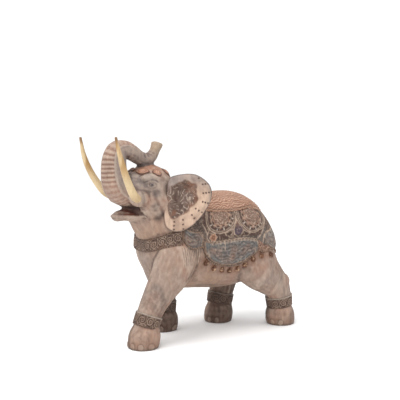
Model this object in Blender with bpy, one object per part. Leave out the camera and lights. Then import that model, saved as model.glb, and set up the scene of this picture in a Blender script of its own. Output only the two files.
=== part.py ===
"""Carved wooden elephant, walking, with its trunk curled back over its forehead.

The elephant faces -Y, its left side is +X and it stands on Z = 0.  One carved block makes the torso, legs, head
and trunk.  Ears, tusks, eyes and the dressings of the state harness are separate pieces on it.
Lengths in the tables below are millimetres; everything built from them goes through mm().
"""

import math

import bmesh
import bpy
from mathutils import Matrix, Vector
from mathutils.bvhtree import BVHTree

MM = 0.001
GAP = 0.3 * MM  # clearance between touching pieces

# Driving dimensions of the carved block, in millimetres.
VOXEL = 1.5
BODY_TRIANGLES = 5200
RING_POINTS = 36

# Torso: y, top z, bottom z, half width.
TORSO = [
    (-71, 104, 80, 13),
    (-66, 116, 67, 22),
    (-54, 130, 54, 30),
    (-36, 137, 47.5, 34),
    (-14, 136.5, 45, 37),
    (10, 137.5, 42.5, 38.5),
    (28, 137.5, 42.5, 38.5),
    (44, 133.5, 45, 37),
    (57, 125.5, 49, 33.5),
    (69, 113, 55, 27.5),
    (78.5, 98, 63, 18.5),
    (83, 86, 71, 8),
]

# Tubes swept in the elephant's length: x, y, z of the centre, half width across x, half depth in the tube's plane.
NECK = [
    (0, -18, 94, 34, 40),
    (0, -36, 106, 32, 35),
    (0, -50, 119, 28.5, 31),
    (0, -61, 132, 25, 27),
    (0, -68, 142, 22, 22),
]
TRUNK = [
    (0, -80, 141, 21, 13.5),
    (0, -90, 143, 20, 12.8),
    (0, -97, 148.5, 18, 12.4),
    (0, -100, 157, 15.5, 12),
    (0, -100.8, 167, 13.5, 11.4),
    (0, -100, 176, 12, 10.8),
    (0, -96.5, 182.3, 10.6, 9.8),
    (0, -89, 183.6, 9.6, 8.6),
    (0, -81.5, 180.2, 8.8, 7.5),
    (0, -74.5, 175.8, 7.9, 6.8),
    (0, -67, 173.9, 7, 6.2),
    (0, -60.5, 176.5, 6.2, 5.5),
    (0, -56.8, 182, 5.5, 4.9),
    (0, -54.6, 187, 5.8, 5.6),
    (0, -53.6, 190, 6.2, 6.8),
]
LOWER_JAW = [
    (0, -56, 122, 17, 13),
    (0, -70, 120.5, 17, 9),
    (0, -82, 121.2, 15, 6),
    (0, -92, 122.2, 12.5, 5),
    (0, -98, 121.4, 9.5, 4.8),
    (0, -101.8, 120, 6, 3.9),
]
TAIL = [
    (0, 70, 98, 6, 6),
    (0, 79.5, 91, 4.2, 4),
    (1, 83.5, 80, 3.4, 3.2),
    (2, 83.5, 71, 3.2, 3),
    (2.5, 81.5, 64, 3.6, 3.4),
    (2.5, 80, 58.5, 1.6, 1.6),
]

# Balls that fill out the head: x, y, z of the centre, half sizes in x, y, z.  A non-zero x is mirrored.
HEAD_BALLS = [
    (0, -64.5, 147, 26.5, 24, 22.3),
    (0, -80, 148, 22, 16, 15),
    (20.5, -86, 138.5, 7.5, 10, 7.5),
    (17, -66, 134, 12.5, 18, 16),
    (19.5, -73, 157, 7.5, 11, 4.5),
]
HOCK = (25, 81, 45, 9.5, 11, 9)  # heel of the hind left leg, thrust back

# Ears.  Each is a shell in a plane turned EAR_TURN out of the elephant's length about the vertical, and hung at
# EAR_ROOT.  The outline runs round it: length out from the head, height.  Bowl and rim are depths out of the plane.
EAR_ROOT = (27.5, -62, 138)
EAR_TURN = 32
EAR_CENTRE = (17, -1)
EAR_OUTLINE = [
    (2, 15), (4.5, 20), (10, 22), (16.5, 23), (23, 23.2), (29.4, 22), (36.4, 17.8), (41.5, 12.2), (43.4, 5.5),
    (42.4, -1.5), (39.6, -7.8), (33.1, -17.1), (26.5, -24), (18.7, -29.1), (12.6, -31), (6.1, -30.4), (0.8, -27),
    (-1.3, -20.6), (-1.6, -14), (-0.5, -6), (0.5, 2), (1.3, 9),
]
EAR_BOWL = 6.5
EAR_RIM_CURL = 3.0
EAR_THICKNESS = 2.6

# Left tusk: x, y, z, radius.
TUSK = [
    (18, -83, 138, 3.2),
    (23.5, -89, 138.5, 3.9),
    (28, -96.5, 143.5, 3.9),
    (32.3, -104.6, 156, 3.4),
    (34.8, -110.4, 168.5, 2.9),
    (35.6, -114, 179.5, 2.2),
    (35, -116.2, 189, 1.5),
    (35, -117.4, 195, 1.15),
]
EYE = (-74.2, 151.6)  # y, z
EYE_RADIUS = 2.1

# Cloth over the back.  Its rays fan out from points on the elephant's length.  A row for each station: y of the
# ray that goes straight up, y of the ray that goes straight out, z of both, lean to the rear in degrees.
CLOTH_STATIONS = [
    (-34, -47, 94, 0), (-24, -34, 94, 0), (-13, -21, 94, 0), (-2, -8, 94, 0), (9, 6, 93, 0),
    (20, 19, 92, 3), (29, 29, 91, 12), (36, 36, 90, 26), (40, 40, 90, 43), (42, 42, 90, 62),
]
# Hem of the cloth: place along it from 0 at the shoulder to 1 at the rump, degrees down from straight up.
HEM = [
    (0.0, 82), (0.03, 93), (0.07, 97), (0.11, 98), (0.15, 97), (0.18, 96), (0.21, 111), (0.25, 118), (0.31, 122.5),
    (0.38, 125), (0.46, 126), (0.53, 124), (0.59, 118), (0.64, 110.5), (0.685, 104), (0.72, 106.5), (0.76, 106),
    (0.80, 104), (0.87, 108), (0.94, 111), (1.0, 104),
]
CLOTH_COLUMNS = 24
CLOTH_ROWS = 11  # on each side of the spine
CLOTH_THICKNESS = 1.4
SEAT_FROM, SEAT_TO = 4, 19  # columns of the cloth that the seat pad covers
SEAT_ROWS = 4
SEAT_THICKNESS = 0.9
TASSELS = (0.225, 0.312, 0.393, 0.463, 0.53, 0.588, 0.643, 0.705, 0.785, 0.93)  # places along the hem
TASSEL_SIZE = (2.5, 3.1, 2.1)  # half sizes along the hem, down the flank, out of it

# Breast band, from one front corner of the cloth round the chest to the other.
BAND_COLUMNS = 28
BAND_HEIGHT = 12.5
BAND_THICKNESS = 1.3

# Petals on the crown round the place where the trunk rests: name, centre, the way the petal points, half length,
# half width.  Those with a side are mirrored.
PETALS = [
    ("front", (0, -80.5, 164), (1, 0, 0), 3.6, 2.4),
    ("side_1", (11.4, -76.9, 163.1), (11.8, 8.6, 0.2), 7.4, 4.6),
    ("side_2", (19.5, -66.2, 161.8), (13.4, -8.3, -8.2), 7.2, 4.6),
    ("side_3", (15, -53.5, 162), (9, 8, -6), 5.6, 3.4),
    ("rear", (0, -46.5, 162), (0, 8, -6), 5.6, 3.6),
]
PETAL_THICKNESS = 1.1

ANKLET_FROM, ANKLET_TO = 18.5, 30.5
ANKLET_THICKNESS = 1.3

# Legs: foot first, then the centre line from the ankle to inside the torso, as the tubes above.
FOOT_RADIUS = 15.2
FOOT_PROFILE = [(-2.5, 0.9), (1, 0.96), (5, 1.0), (10, 1.01), (15, 0.95), (19, 0.82)]  # z, share of the radius
LEGS = {
    "front_left": [
        (21, -83, 0, 0, 0),
        (21, -80.5, 20, 11, 11.4),
        (21.5, -75, 34, 11.6, 12.4),
        (23, -66, 50, 13.5, 15),
        (24, -55, 66, 16, 19),
        (22, -45, 84, 17, 21),
        (18, -38, 98, 14, 18),
    ],
    "front_right": [
        (-24, -33, 0, 0, 0),
        (-24, -32.5, 20, 11.4, 11.8),
        (-24, -32, 34, 11.8, 12.4),
        (-24.5, -33, 50, 13.5, 15),
        (-24, -36, 66, 15.5, 18.5),
        (-22, -40, 84, 17, 21),
        (-18, -38, 98, 14, 18),
    ],
    "hind_right": [
        (-21, 34, 0, 0, 0),
        (-21, 36, 20, 12, 12.8),
        (-21.5, 39, 33, 12.4, 13.6),
        (-23, 43, 46, 13.5, 16.5),
        (-23.5, 46, 60, 16, 21),
        (-21, 47, 78, 17, 27),
        (-17, 46, 96, 14, 24),
    ],
    "hind_left": [
        (25, 82, 0, 0, 0),
        (25, 80.5, 20, 12, 12.8),
        (25, 79, 31, 12.4, 13.8),
        (25, 74.5, 41, 13, 15.6),
        (25, 65, 50, 14.5, 18.5),
        (24, 54, 60, 17, 23),
        (21, 43, 76, 18, 28),
        (17, 38, 94, 14, 25),
    ],
}


def mm(*values):
    """A point, or one length, given in millimetres, in metres."""
    return values[0] * MM if len(values) == 1 else Vector(values) * MM


def catmull(rows, steps):
    """The rows of a table, with steps rows on a smooth curve through each stretch between two of them."""
    smooth = []
    for i in range(len(rows) - 1):
        before = rows[max(i - 1, 0)]
        after = rows[min(i + 2, len(rows) - 1)]
        for k in range(steps):
            t = k / steps
            smooth.append(
                tuple(
                    0.5 * (2 * b + (c - a) * t + (2 * a - 5 * b + 4 * c - d) * t * t + (3 * b - a - 3 * c + d) * t**3)
                    for a, b, c, d in zip(before, rows[i], rows[i + 1], after)
                )
            )
    return smooth + [tuple(rows[-1])]


def ring(centre, across, upward, half_width, half_height, count=RING_POINTS):
    """Points of an ellipse."""
    points = []
    for k in range(count):
        angle = 2 * math.pi * k / count
        points.append(centre + across * (half_width * math.cos(angle)) + upward * (half_height * math.sin(angle)))
    return points


def add_loft(mesh, rings):
    """Joins rings of equal count into a closed skin with flat ends."""
    rows = [[mesh.verts.new(point) for point in points] for points in rings]
    count = len(rows[0])
    for lower, upper in zip(rows, rows[1:]):
        for k in range(count):
            mesh.faces.new((lower[k], lower[(k + 1) % count], upper[(k + 1) % count], upper[k]))
    mesh.faces.new(rows[0][::-1])
    mesh.faces.new(rows[-1])


def add_tube(mesh, rows, steps=5, count=RING_POINTS):
    """A swept tube whose rings stand square to its centre line, which stays near a plane of constant x."""
    smooth = catmull(rows, steps)
    rings = []
    for i, (x, y, z, half_width, half_depth) in enumerate(smooth):
        before, after = smooth[max(i - 1, 0)], smooth[min(i + 1, len(smooth) - 1)]
        along = Vector(after[:3]) - Vector(before[:3])
        across = Vector((1, 0, 0))
        upward = along.cross(across).normalized()
        rings.append(ring(mm(x, y, z), across, upward, mm(half_width), mm(half_depth), count))
    add_loft(mesh, rings)


def add_ball(mesh, centre, half_sizes):
    """An ellipsoid."""
    shape = Matrix.Translation(centre) @ Matrix.Diagonal((*half_sizes, 1.0))
    bmesh.ops.create_icosphere(mesh, subdivisions=3, radius=1.0, matrix=shape)


def add_torso(mesh):
    rings = []
    for y, top, bottom, half_width in catmull(TORSO, 4):
        centre = mm(0, y, (top + bottom) / 2)
        rings.append(ring(centre, Vector((1, 0, 0)), Vector((0, 0, 1)), mm(half_width), mm((top - bottom) / 2)))
    add_loft(mesh, rings)


def add_leg(mesh, rows):
    """A round foot that stands flat, and the leg that rises from it."""
    foot = Vector(rows[0][:3])
    ankle = Vector(rows[1][:3])
    rings = []
    for z, share in FOOT_PROFILE:
        centre = foot.lerp(ankle, max(z, 0) / ankle.z)
        radius = mm(FOOT_RADIUS * share)
        point = mm(centre.x, centre.y, z)
        rings.append(ring(point, Vector((1, 0, 0)), Vector((0, 1, 0)), radius, radius))
    add_loft(mesh, rings)
    lower_end = (ankle.x, ankle.y, ankle.z - 8, *rows[1][3:])
    add_tube(mesh, [lower_end] + rows[1:])


def smoothstep(low, high, value):
    t = min(max((value - low) / (high - low), 0.0), 1.0)
    return t * t * (3 - 2 * t)


def lookup(table, place):
    """Straight-line reading of a table of (place, value)."""
    for (p0, v0), (p1, v1) in zip(table, table[1:]):
        if place <= p1:
            return v0 + (v1 - v0) * (place - p0) / (p1 - p0)
    return table[-1][1]


def material(name):
    """The Principled material of a finish, made once."""
    found = bpy.data.materials.get(name)
    if found:
        return found
    colour, roughness, metallic = FINISHES[name]
    made = bpy.data.materials.new(name)
    made.use_nodes = True
    shader = made.node_tree.nodes["Principled BSDF"]
    shader.inputs["Base Color"].default_value = (*colour, 1.0)
    shader.inputs["Roughness"].default_value = roughness
    shader.inputs["Metallic"].default_value = metallic
    return made


def mesh_object(name, mesh, finish):
    """Turns a bmesh into a named object with one finish."""
    bmesh.ops.recalc_face_normals(mesh, faces=mesh.faces)
    data = bpy.data.meshes.new(name)
    mesh.to_mesh(data)
    mesh.free()
    obj = bpy.data.objects.new(name, data)
    bpy.context.scene.collection.objects.link(obj)
    data.materials.append(material(finish))
    return obj


def cutter(name, mesh):
    """A shape that is taken out of others and is not a piece."""
    obj = mesh_object(name, mesh, "wood")
    obj.hide_render = True
    obj.display_type = "WIRE"
    return obj


def cut(obj, shape):
    modifier = obj.modifiers.new("cut", "BOOLEAN")
    modifier.operation = "DIFFERENCE"
    modifier.solver = "EXACT"
    modifier.object = shape


def freeze(obj):
    """Replaces an object's mesh by what its modifiers make of it."""
    graph = bpy.context.evaluated_depsgraph_get()
    graph.update()
    data = bpy.data.meshes.new_from_object(obj.evaluated_get(graph))
    obj.modifiers.clear()
    obj.data = data
    return data


def carve_body():
    """The main block: overlapping lofts fused by a voxel remesh, smoothed where they meet, feet cut flat.

    Returns it with a search tree of its surface before it was thinned.
    """
    mesh = bmesh.new()
    add_torso(mesh)
    for rows in (NECK, TRUNK, LOWER_JAW, TAIL):
        add_tube(mesh, rows)
    for x, y, z, *half_sizes in HEAD_BALLS:
        for side in (1, -1) if x else (1,):
            add_ball(mesh, mm(side * x, y, z), [mm(h) for h in half_sizes])
    for rows in LEGS.values():
        add_leg(mesh, rows)
    add_ball(mesh, mm(*HOCK[:3]), [mm(h) for h in HOCK[3:]])
    body = mesh_object("body", mesh, "wood")
    remesh = body.modifiers.new("fuse", "REMESH")
    remesh.mode = "VOXEL"
    remesh.voxel_size = mm(VOXEL)
    smooth = body.modifiers.new("blend", "SMOOTH")
    smooth.factor = 0.5
    smooth.iterations = 6
    dense = freeze(body)
    tree = BVHTree.FromPolygons([v.co for v in dense.vertices], [tuple(p.vertices) for p in dense.polygons])
    thin = body.modifiers.new("thin", "DECIMATE")
    thin.ratio = BODY_TRIANGLES / (2 * len(dense.polygons))
    mesh = bmesh.new()
    bmesh.ops.create_cube(mesh, size=1.0, matrix=Matrix.Translation((0, 0, -0.05)) @ Matrix.Diagonal((1, 1, 0.1, 1)))
    cut(body, cutter("ground", mesh))
    freeze(body)
    return body, tree


def clearance_around(body):
    """The body grown by the gap, to be cut out of everything that sits on it."""
    mesh = bmesh.new()
    mesh.from_mesh(body.data)
    mesh.normal_update()
    for vert in mesh.verts:
        vert.co += vert.normal * GAP
    return cutter("clearance", mesh)


def surface_points(tree, rays):
    """Where a grid of rays, each an origin and a direction, leaves the body, with the surface's smooth normals."""
    points = []
    for row in rays:
        hits = []
        for origin, direction in row:
            hit = tree.ray_cast(origin, direction)[0]
            if hit is None:
                raise ValueError(f"ray from {origin} along {direction} leaves nothing")
            hits.append(hit)
        points.append(hits)
    normals = []
    for i in range(len(points)):
        line = []
        for j in range(len(points[0])):
            along = points[min(i + 1, len(points) - 1)][j] - points[max(i - 1, 0)][j]
            across = points[i][min(j + 1, len(points[0]) - 1)] - points[i][max(j - 1, 0)]
            normal = along.cross(across).normalized()
            line.append(normal if normal.dot(rays[i][j][1]) > 0 else -normal)
        normals.append(line)
    return points, normals


def add_plate(mesh, points, normals, low, high, closed=False):
    """A plate over a grid of surface points, from low to high above it (metres).  closed joins its ends."""
    rows, columns = len(points), len(points[0])
    skins = []
    for height in (low, high):
        skin = []
        for i in range(rows):
            skin.append([mesh.verts.new(points[i][j] + normals[i][j] * height) for j in range(columns)])
        skins.append(skin)
    spans = range(rows) if closed else range(rows - 1)
    for i in spans:
        k = (i + 1) % rows
        for j in range(columns - 1):
            for skin in skins:
                mesh.faces.new((skin[i][j], skin[k][j], skin[k][j + 1], skin[i][j + 1]))
        for j in (0, columns - 1):
            mesh.faces.new((skins[0][i][j], skins[0][k][j], skins[1][k][j], skins[1][i][j]))
    if not closed:
        for i in (0, rows - 1):
            for j in range(columns - 1):
                mesh.faces.new((skins[0][i][j], skins[0][i][j + 1], skins[1][i][j + 1], skins[1][i][j]))


def cloth_ray(place, angle):
    """Origin and direction of a ray of the cloth's fan; angle is in degrees from straight up, left side positive."""
    position = min(max(place, 0.0), 1.0) * (len(CLOTH_STATIONS) - 1)
    index = min(int(position), len(CLOTH_STATIONS) - 2)
    share = position - index
    top, flank, height, lean = (
        a + (b - a) * share for a, b in zip(CLOTH_STATIONS[index], CLOTH_STATIONS[index + 1])
    )
    turn, lean = math.radians(angle), math.radians(lean)
    level = math.sin(min(abs(turn), math.pi / 2)) ** 2
    origin = mm(0, top + (flank - top) * level, height)
    return origin, Vector((math.sin(turn) * math.cos(lean), math.sin(lean), math.cos(turn) * math.cos(lean)))


def dress_cloth(tree, clearance):
    """The cloth over the back and the seat pad on it, on one grid of rays so that their faces run parallel."""
    rays = []
    for i in range(CLOTH_COLUMNS):
        place = i / (CLOTH_COLUMNS - 1)
        hem = lookup(HEM, place)
        rays.append([cloth_ray(place, hem * j / CLOTH_ROWS) for j in range(-CLOTH_ROWS, CLOTH_ROWS + 1)])
    points, normals = surface_points(tree, rays)
    mesh = bmesh.new()
    add_plate(mesh, points, normals, mm(-2.5), mm(0.3 + CLOTH_THICKNESS))
    cut(mesh_object("saddle_cloth", mesh, "cloth"), clearance)
    low = CLOTH_ROWS - SEAT_ROWS
    high = CLOTH_ROWS + SEAT_ROWS + 1
    seat = [row[low:high] for row in points[SEAT_FROM:SEAT_TO]]
    seat_normals = [row[low:high] for row in normals[SEAT_FROM:SEAT_TO]]
    mesh = bmesh.new()
    base = 0.3 + CLOTH_THICKNESS + 0.3
    add_plate(mesh, seat, seat_normals, mm(base), mm(base + SEAT_THICKNESS))
    mesh_object("seat_pad", mesh, "seat")


def hang_tassels(tree, clearance):
    """Drops in a row under the hem, half sunk against the flank."""
    for side, word in ((1, "left"), (-1, "right")):
        for number, place in enumerate(TASSELS, 1):
            hem = lookup(HEM, place)
            origin, direction = cloth_ray(place, side * hem)
            edge = tree.ray_cast(origin, direction)[0]
            origin, direction = cloth_ray(place, side * (hem + 8))
            below = tree.ray_cast(origin, direction)[0]
            origin, direction = cloth_ray(min(place + 0.03, 1.0), side * hem)
            beside = tree.ray_cast(origin, direction)[0]
            down = (below - edge).normalized()
            out = down.cross(beside - edge).normalized()
            out = out if out.dot(direction) > 0 else -out
            along = down.cross(out)
            centre = edge + down * mm(0.7 + TASSEL_SIZE[1]) + out * mm(0.8)
            shape = Matrix((along * mm(TASSEL_SIZE[0]), down * mm(TASSEL_SIZE[1]), out * mm(TASSEL_SIZE[2])))
            shape = Matrix.Translation(centre) @ shape.transposed().to_4x4()
            mesh = bmesh.new()
            bmesh.ops.create_icosphere(mesh, subdivisions=2, radius=1.0, matrix=shape)
            cut(mesh_object(f"tassel_{word}_{number}", mesh, "bronze"), clearance)


def strap_chest(tree, clearance):
    """Breast band: rays fan out level round the chest and end square to the flank at the cloth's front edge."""
    rays = []
    for i in range(BAND_COLUMNS):
        turn = math.radians(-90 + 180 * i / (BAND_COLUMNS - 1))
        level = math.sin(turn) ** 2
        line = []
        for j in range(5):
            z = 92 + 8.5 * level + BAND_HEIGHT * (j / 4 - 0.5)
            line.append((mm(0, -40 - 7.5 * level, z), Vector((math.sin(turn), -math.cos(turn), 0))))
        rays.append(line)
    points, normals = surface_points(tree, rays)
    mesh = bmesh.new()
    add_plate(mesh, points, normals, mm(-2.5), mm(0.3 + BAND_THICKNESS))
    cut(mesh_object("breast_band", mesh, "band"), clearance)


def lay_petal(name, tree, clearance, centre, pointing, half_length, half_width):
    """A pointed oval plate that follows the crown, laid where the head is nearest to centre."""
    centre, out = tree.find_nearest(mm(*centre))[:2]
    along = (Vector(pointing) - out * out.dot(Vector(pointing))).normalized()
    beside = out.cross(along)
    rays = []
    for i in range(14):
        turn = 2 * math.pi * i / 14
        reach = along * mm(half_length * math.cos(turn))
        reach += beside * mm(half_width * math.sin(turn) * abs(math.sin(turn)) ** 0.25)
        rays.append([(centre + reach * share + out * mm(3), -out) for share in (0.4, 0.75, 1.0)])
    points, normals = surface_points(tree, rays + rays[:1])
    mesh = bmesh.new()
    heights = (mm(-1.5), mm(0.3 + PETAL_THICKNESS))
    skins = [[[mesh.verts.new(p + out * height) for p in line] for line in points[:-1]] for height in heights]
    for skin in skins:
        for i in range(14):
            for j in range(2):
                k = (i + 1) % 14
                mesh.faces.new((skin[i][j], skin[k][j], skin[k][j + 1], skin[i][j + 1]))
        mesh.faces.new([line[0] for line in skin])
    for i in range(14):
        k = (i + 1) % 14
        mesh.faces.new((skins[0][i][2], skins[0][k][2], skins[1][k][2], skins[1][i][2]))
    cut(mesh_object(name, mesh, "petal"), clearance)


def crown_head(tree, clearance):
    for name, centre, pointing, half_length, half_width in PETALS:
        for side, word in ((1, "left"), (-1, "right")):
            if centre[0] == 0 and side < 0:
                continue
            full = name.replace("side", word) if centre[0] else name
            place = (side * centre[0], *centre[1:])
            way = (side * pointing[0], *pointing[1:])
            lay_petal(f"petal_{full}", tree, clearance, place, way, half_length, half_width)


def band_ankles(clearance):
    """A cuff round each leg above the foot."""
    for leg, rows in LEGS.items():
        lower, upper = rows[1], rows[2]
        line = []
        for z in (ANKLET_FROM, ANKLET_TO):
            share = (z - lower[2]) / (upper[2] - lower[2])
            x, y, z, width, depth = (a + (b - a) * share for a, b in zip(lower, upper))
            line.append((x, y, z, width + ANKLET_THICKNESS, depth + ANKLET_THICKNESS))
        mesh = bmesh.new()
        add_tube(mesh, line, steps=1, count=28)
        cut(mesh_object(f"anklet_{leg}", mesh, "band"), clearance)


def ear_point(side, out, up, depth):
    turn = math.radians(EAR_TURN)
    x = EAR_ROOT[0] + out * math.sin(turn) + depth * math.cos(turn)
    y = EAR_ROOT[1] + out * math.cos(turn) - depth * math.sin(turn)
    return mm(side * x, y, EAR_ROOT[2] + up)


def hang_ear(side, word, clearance):
    """A cupped shell: a bowl, a wide rim that curls back at the edge, and a thick root against the head."""
    closed = EAR_OUTLINE[-1:] + EAR_OUTLINE + EAR_OUTLINE[:2]
    outline = catmull(closed, 1)[1:-2]
    shares = (0.22, 0.42, 0.58, 0.74, 0.9, 1.0)
    mesh = bmesh.new()
    skins = []
    for skin in ("front", "back"):
        rings = []
        for share in shares:
            line = []
            for u, v in outline:
                out = EAR_CENTRE[0] + (u - EAR_CENTRE[0]) * share
                up = EAR_CENTRE[1] + (v - EAR_CENTRE[1]) * share
                bowl = -EAR_BOWL * (1 - smoothstep(0.25, 0.78, share))
                curl = -EAR_RIM_CURL * smoothstep(0.8, 1.0, share) * smoothstep(-24, -6, v) * smoothstep(8, 26, u)
                depth = bowl + curl
                if skin == "back":
                    root = 11 * (1 - smoothstep(3, 17, out)) * (1 - smoothstep(0.7, 0.96, share))
                    depth -= EAR_THICKNESS - 0.9 * smoothstep(0.7, 1.0, share) + root
                line.append(mesh.verts.new(ear_point(side, out, up, depth)))
            rings.append(line)
        depth = -EAR_BOWL - (EAR_THICKNESS if skin == "back" else 0)
        skins.append((mesh.verts.new(ear_point(side, *EAR_CENTRE, depth)), rings))
    count = len(outline)
    for centre, rings in skins:
        for k in range(count):
            mesh.faces.new((centre, rings[0][k], rings[0][(k + 1) % count]))
        for lower, upper in zip(rings, rings[1:]):
            for k in range(count):
                mesh.faces.new((lower[k], upper[k], upper[(k + 1) % count], lower[(k + 1) % count]))
    front, back = skins[0][1][-1], skins[1][1][-1]
    for k in range(count):
        mesh.faces.new((front[k], back[k], back[(k + 1) % count], front[(k + 1) % count]))
    cut(mesh_object(f"ear_{word}", mesh, "wood"), clearance)


def plant_tusk(side, word, clearance):
    mesh = bmesh.new()
    rows = [(side * x, y, z, radius, radius) for x, y, z, radius in TUSK]
    add_tube(mesh, rows, steps=2, count=12)
    cut(mesh_object(f"tusk_{word}", mesh, "ivory"), clearance)


def set_eye(side, word, tree, clearance):
    hit = tree.ray_cast(mm(side * 80, *EYE), Vector((-side, 0, 0)))[0]
    mesh = bmesh.new()
    add_ball(mesh, hit - mm(side * 0.8, 0, 0), [mm(EYE_RADIUS)] * 3)
    cut(mesh_object(f"eye_{word}", mesh, "eye"), clearance)


# Colour, roughness, metallic share.
FINISHES = {
    "wood": ((0.38, 0.27, 0.22), 0.6, 0.0),
    "ivory": ((0.8, 0.62, 0.33), 0.4, 0.0),
    "eye": ((0.12, 0.1, 0.1), 0.3, 0.0),
    "cloth": ((0.18, 0.19, 0.2), 0.6, 0.0),
    "seat": ((0.5, 0.27, 0.17), 0.55, 0.0),
    "band": ((0.22, 0.15, 0.12), 0.55, 0.0),
    "petal": ((0.5, 0.25, 0.17), 0.5, 0.0),
    "bronze": ((0.3, 0.16, 0.09), 0.45, 0.0),
}


def stand_on_origin():
    """Settles every cut, drops the cutters and puts the origin under the middle of the whole figure."""
    pieces = [obj for obj in bpy.data.objects if not obj.hide_render]
    for obj in pieces:
        freeze(obj)
    for obj in list(bpy.data.objects):
        if obj.hide_render:
            bpy.data.objects.remove(obj)
    corners = [vert.co for obj in pieces for vert in obj.data.vertices]
    x, y = ((min(c[k] for c in corners) + max(c[k] for c in corners)) / 2 for k in (0, 1))
    for obj in pieces:
        obj.data.transform(Matrix.Translation((-x, -y, 0)))
        obj.data.shade_smooth()
        obj.data.set_sharp_from_angle(angle=math.radians(50))


def main():
    for obj in list(bpy.data.objects):
        bpy.data.objects.remove(obj)
    body, tree = carve_body()
    clearance = clearance_around(body)
    dress_cloth(tree, clearance)
    hang_tassels(tree, clearance)
    strap_chest(tree, clearance)
    crown_head(tree, clearance)
    band_ankles(clearance)
    for side, word in ((1, "left"), (-1, "right")):
        hang_ear(side, word, clearance)
        plant_tusk(side, word, clearance)
        set_eye(side, word, tree, clearance)
    stand_on_origin()


main()
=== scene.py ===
"""Looks of the carved wooden elephant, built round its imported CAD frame.

The carved block is refined from a copy of its CAD mesh.  Everything that sits on it is built again at a finer
step, with its carved relief, from the same named sizes as the CAD.  Lengths are millimetres in the carver's
frame, whose origin lies FORWARD behind the row's; world() takes them to the row frame in metres.
"""

import math
from collections import defaultdict

import bmesh
import bpy
import numpy as np
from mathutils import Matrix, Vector
from mathutils.bvhtree import BVHTree

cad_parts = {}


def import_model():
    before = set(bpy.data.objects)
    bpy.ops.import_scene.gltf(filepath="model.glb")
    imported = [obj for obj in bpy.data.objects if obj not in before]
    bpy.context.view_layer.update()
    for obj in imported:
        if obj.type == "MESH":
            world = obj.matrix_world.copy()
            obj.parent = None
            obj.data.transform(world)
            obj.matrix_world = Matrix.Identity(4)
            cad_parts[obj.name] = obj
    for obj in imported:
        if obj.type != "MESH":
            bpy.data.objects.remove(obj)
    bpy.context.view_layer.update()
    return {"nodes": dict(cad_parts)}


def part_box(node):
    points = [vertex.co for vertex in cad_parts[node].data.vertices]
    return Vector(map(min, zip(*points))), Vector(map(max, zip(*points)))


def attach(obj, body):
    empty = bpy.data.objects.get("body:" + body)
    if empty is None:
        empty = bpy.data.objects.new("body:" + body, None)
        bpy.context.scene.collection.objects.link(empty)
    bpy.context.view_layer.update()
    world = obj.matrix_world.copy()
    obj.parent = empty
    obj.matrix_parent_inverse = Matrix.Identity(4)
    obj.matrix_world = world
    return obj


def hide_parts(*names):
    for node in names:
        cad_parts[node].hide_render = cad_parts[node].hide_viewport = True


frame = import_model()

MM = 0.001
FORWARD = 10.95
TURN = 2 * math.pi
SIDES = ((1, "left"), (-1, "right"))

# ------------------------------ sizes

TRUNK = [  # x, y, z of the centre, half width, half depth
    (0, -80, 141, 21, 13.5), (0, -90, 143, 20, 12.8), (0, -97, 148.5, 18, 12.4), (0, -100, 157, 15.5, 12),
    (0, -100.8, 167, 13.5, 11.4), (0, -100, 176, 12, 10.8), (0, -96.5, 182.3, 10.6, 9.8), (0, -89, 183.6, 9.6, 8.6),
    (0, -81.5, 180.2, 8.8, 7.5), (0, -74.5, 175.8, 7.9, 6.8), (0, -67, 173.9, 7, 6.2), (0, -60.5, 176.5, 6.2, 5.5),
    (0, -56.8, 182, 5.5, 4.9), (0, -54.6, 187, 5.8, 5.6), (0, -53.6, 190, 6.2, 6.8),
]
CLOTH_STATIONS = [  # y of the ray straight up, y of the ray straight out, z of both, lean to the rear in degrees
    (-34, -47, 94, 0), (-24, -34, 94, 0), (-13, -21, 94, 0), (-2, -8, 94, 0), (9, 6, 93, 0),
    (20, 19, 92, 3), (29, 29, 91, 12), (36, 36, 90, 26), (40, 40, 90, 43), (42, 42, 90, 62),
]
HEM = [  # place from shoulder to rump, degrees down from straight up
    (0.0, 82), (0.03, 93), (0.07, 97), (0.11, 98), (0.15, 97), (0.18, 96), (0.21, 111), (0.25, 118), (0.31, 122.5),
    (0.38, 125), (0.46, 126), (0.53, 124), (0.59, 118), (0.64, 110.5), (0.685, 104), (0.72, 106.5), (0.76, 106),
    (0.80, 104), (0.87, 108), (0.94, 111), (1.0, 104),
]
CLOTH_HEIGHT, BAND_RELIEF_FROM = 1.7, 1.45
PLATE_FOOT, PLATE_EDGE, PLATE_LIP = -0.8, 0.9, 0.2  # underside, width of the rounded edge, height at its rim
SEAT_FROM, SEAT_TO, SEAT_SHARE = 4 / 23, 18 / 23, 4 / 11
SEAT_LOW, SEAT_HEIGHT = 2.0, 2.9
TASSELS = (0.225, 0.312, 0.393, 0.463, 0.53, 0.588, 0.643, 0.705, 0.785, 0.93)
TASSEL_SIZE = (2.5, 3.1, 2.1)
BAND_HEIGHT = 12.5
PETALS = [  # name, centre, the way it points, half length, half width
    ("front", (0, -80.5, 164), (1, 0, 0), 3.6, 2.4),
    ("side_1", (11.4, -76.9, 163.1), (11.8, 8.6, 0.2), 7.4, 4.6),
    ("side_2", (19.5, -66.2, 161.8), (13.4, -8.3, -8.2), 7.2, 4.6),
    ("side_3", (15, -53.5, 162), (9, 8, -6), 5.6, 3.4),
    ("rear", (0, -46.5, 162), (0, 8, -6), 5.6, 3.6),
]
ANKLET_FROM, ANKLET_TO = 18.5, 30.5
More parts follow.
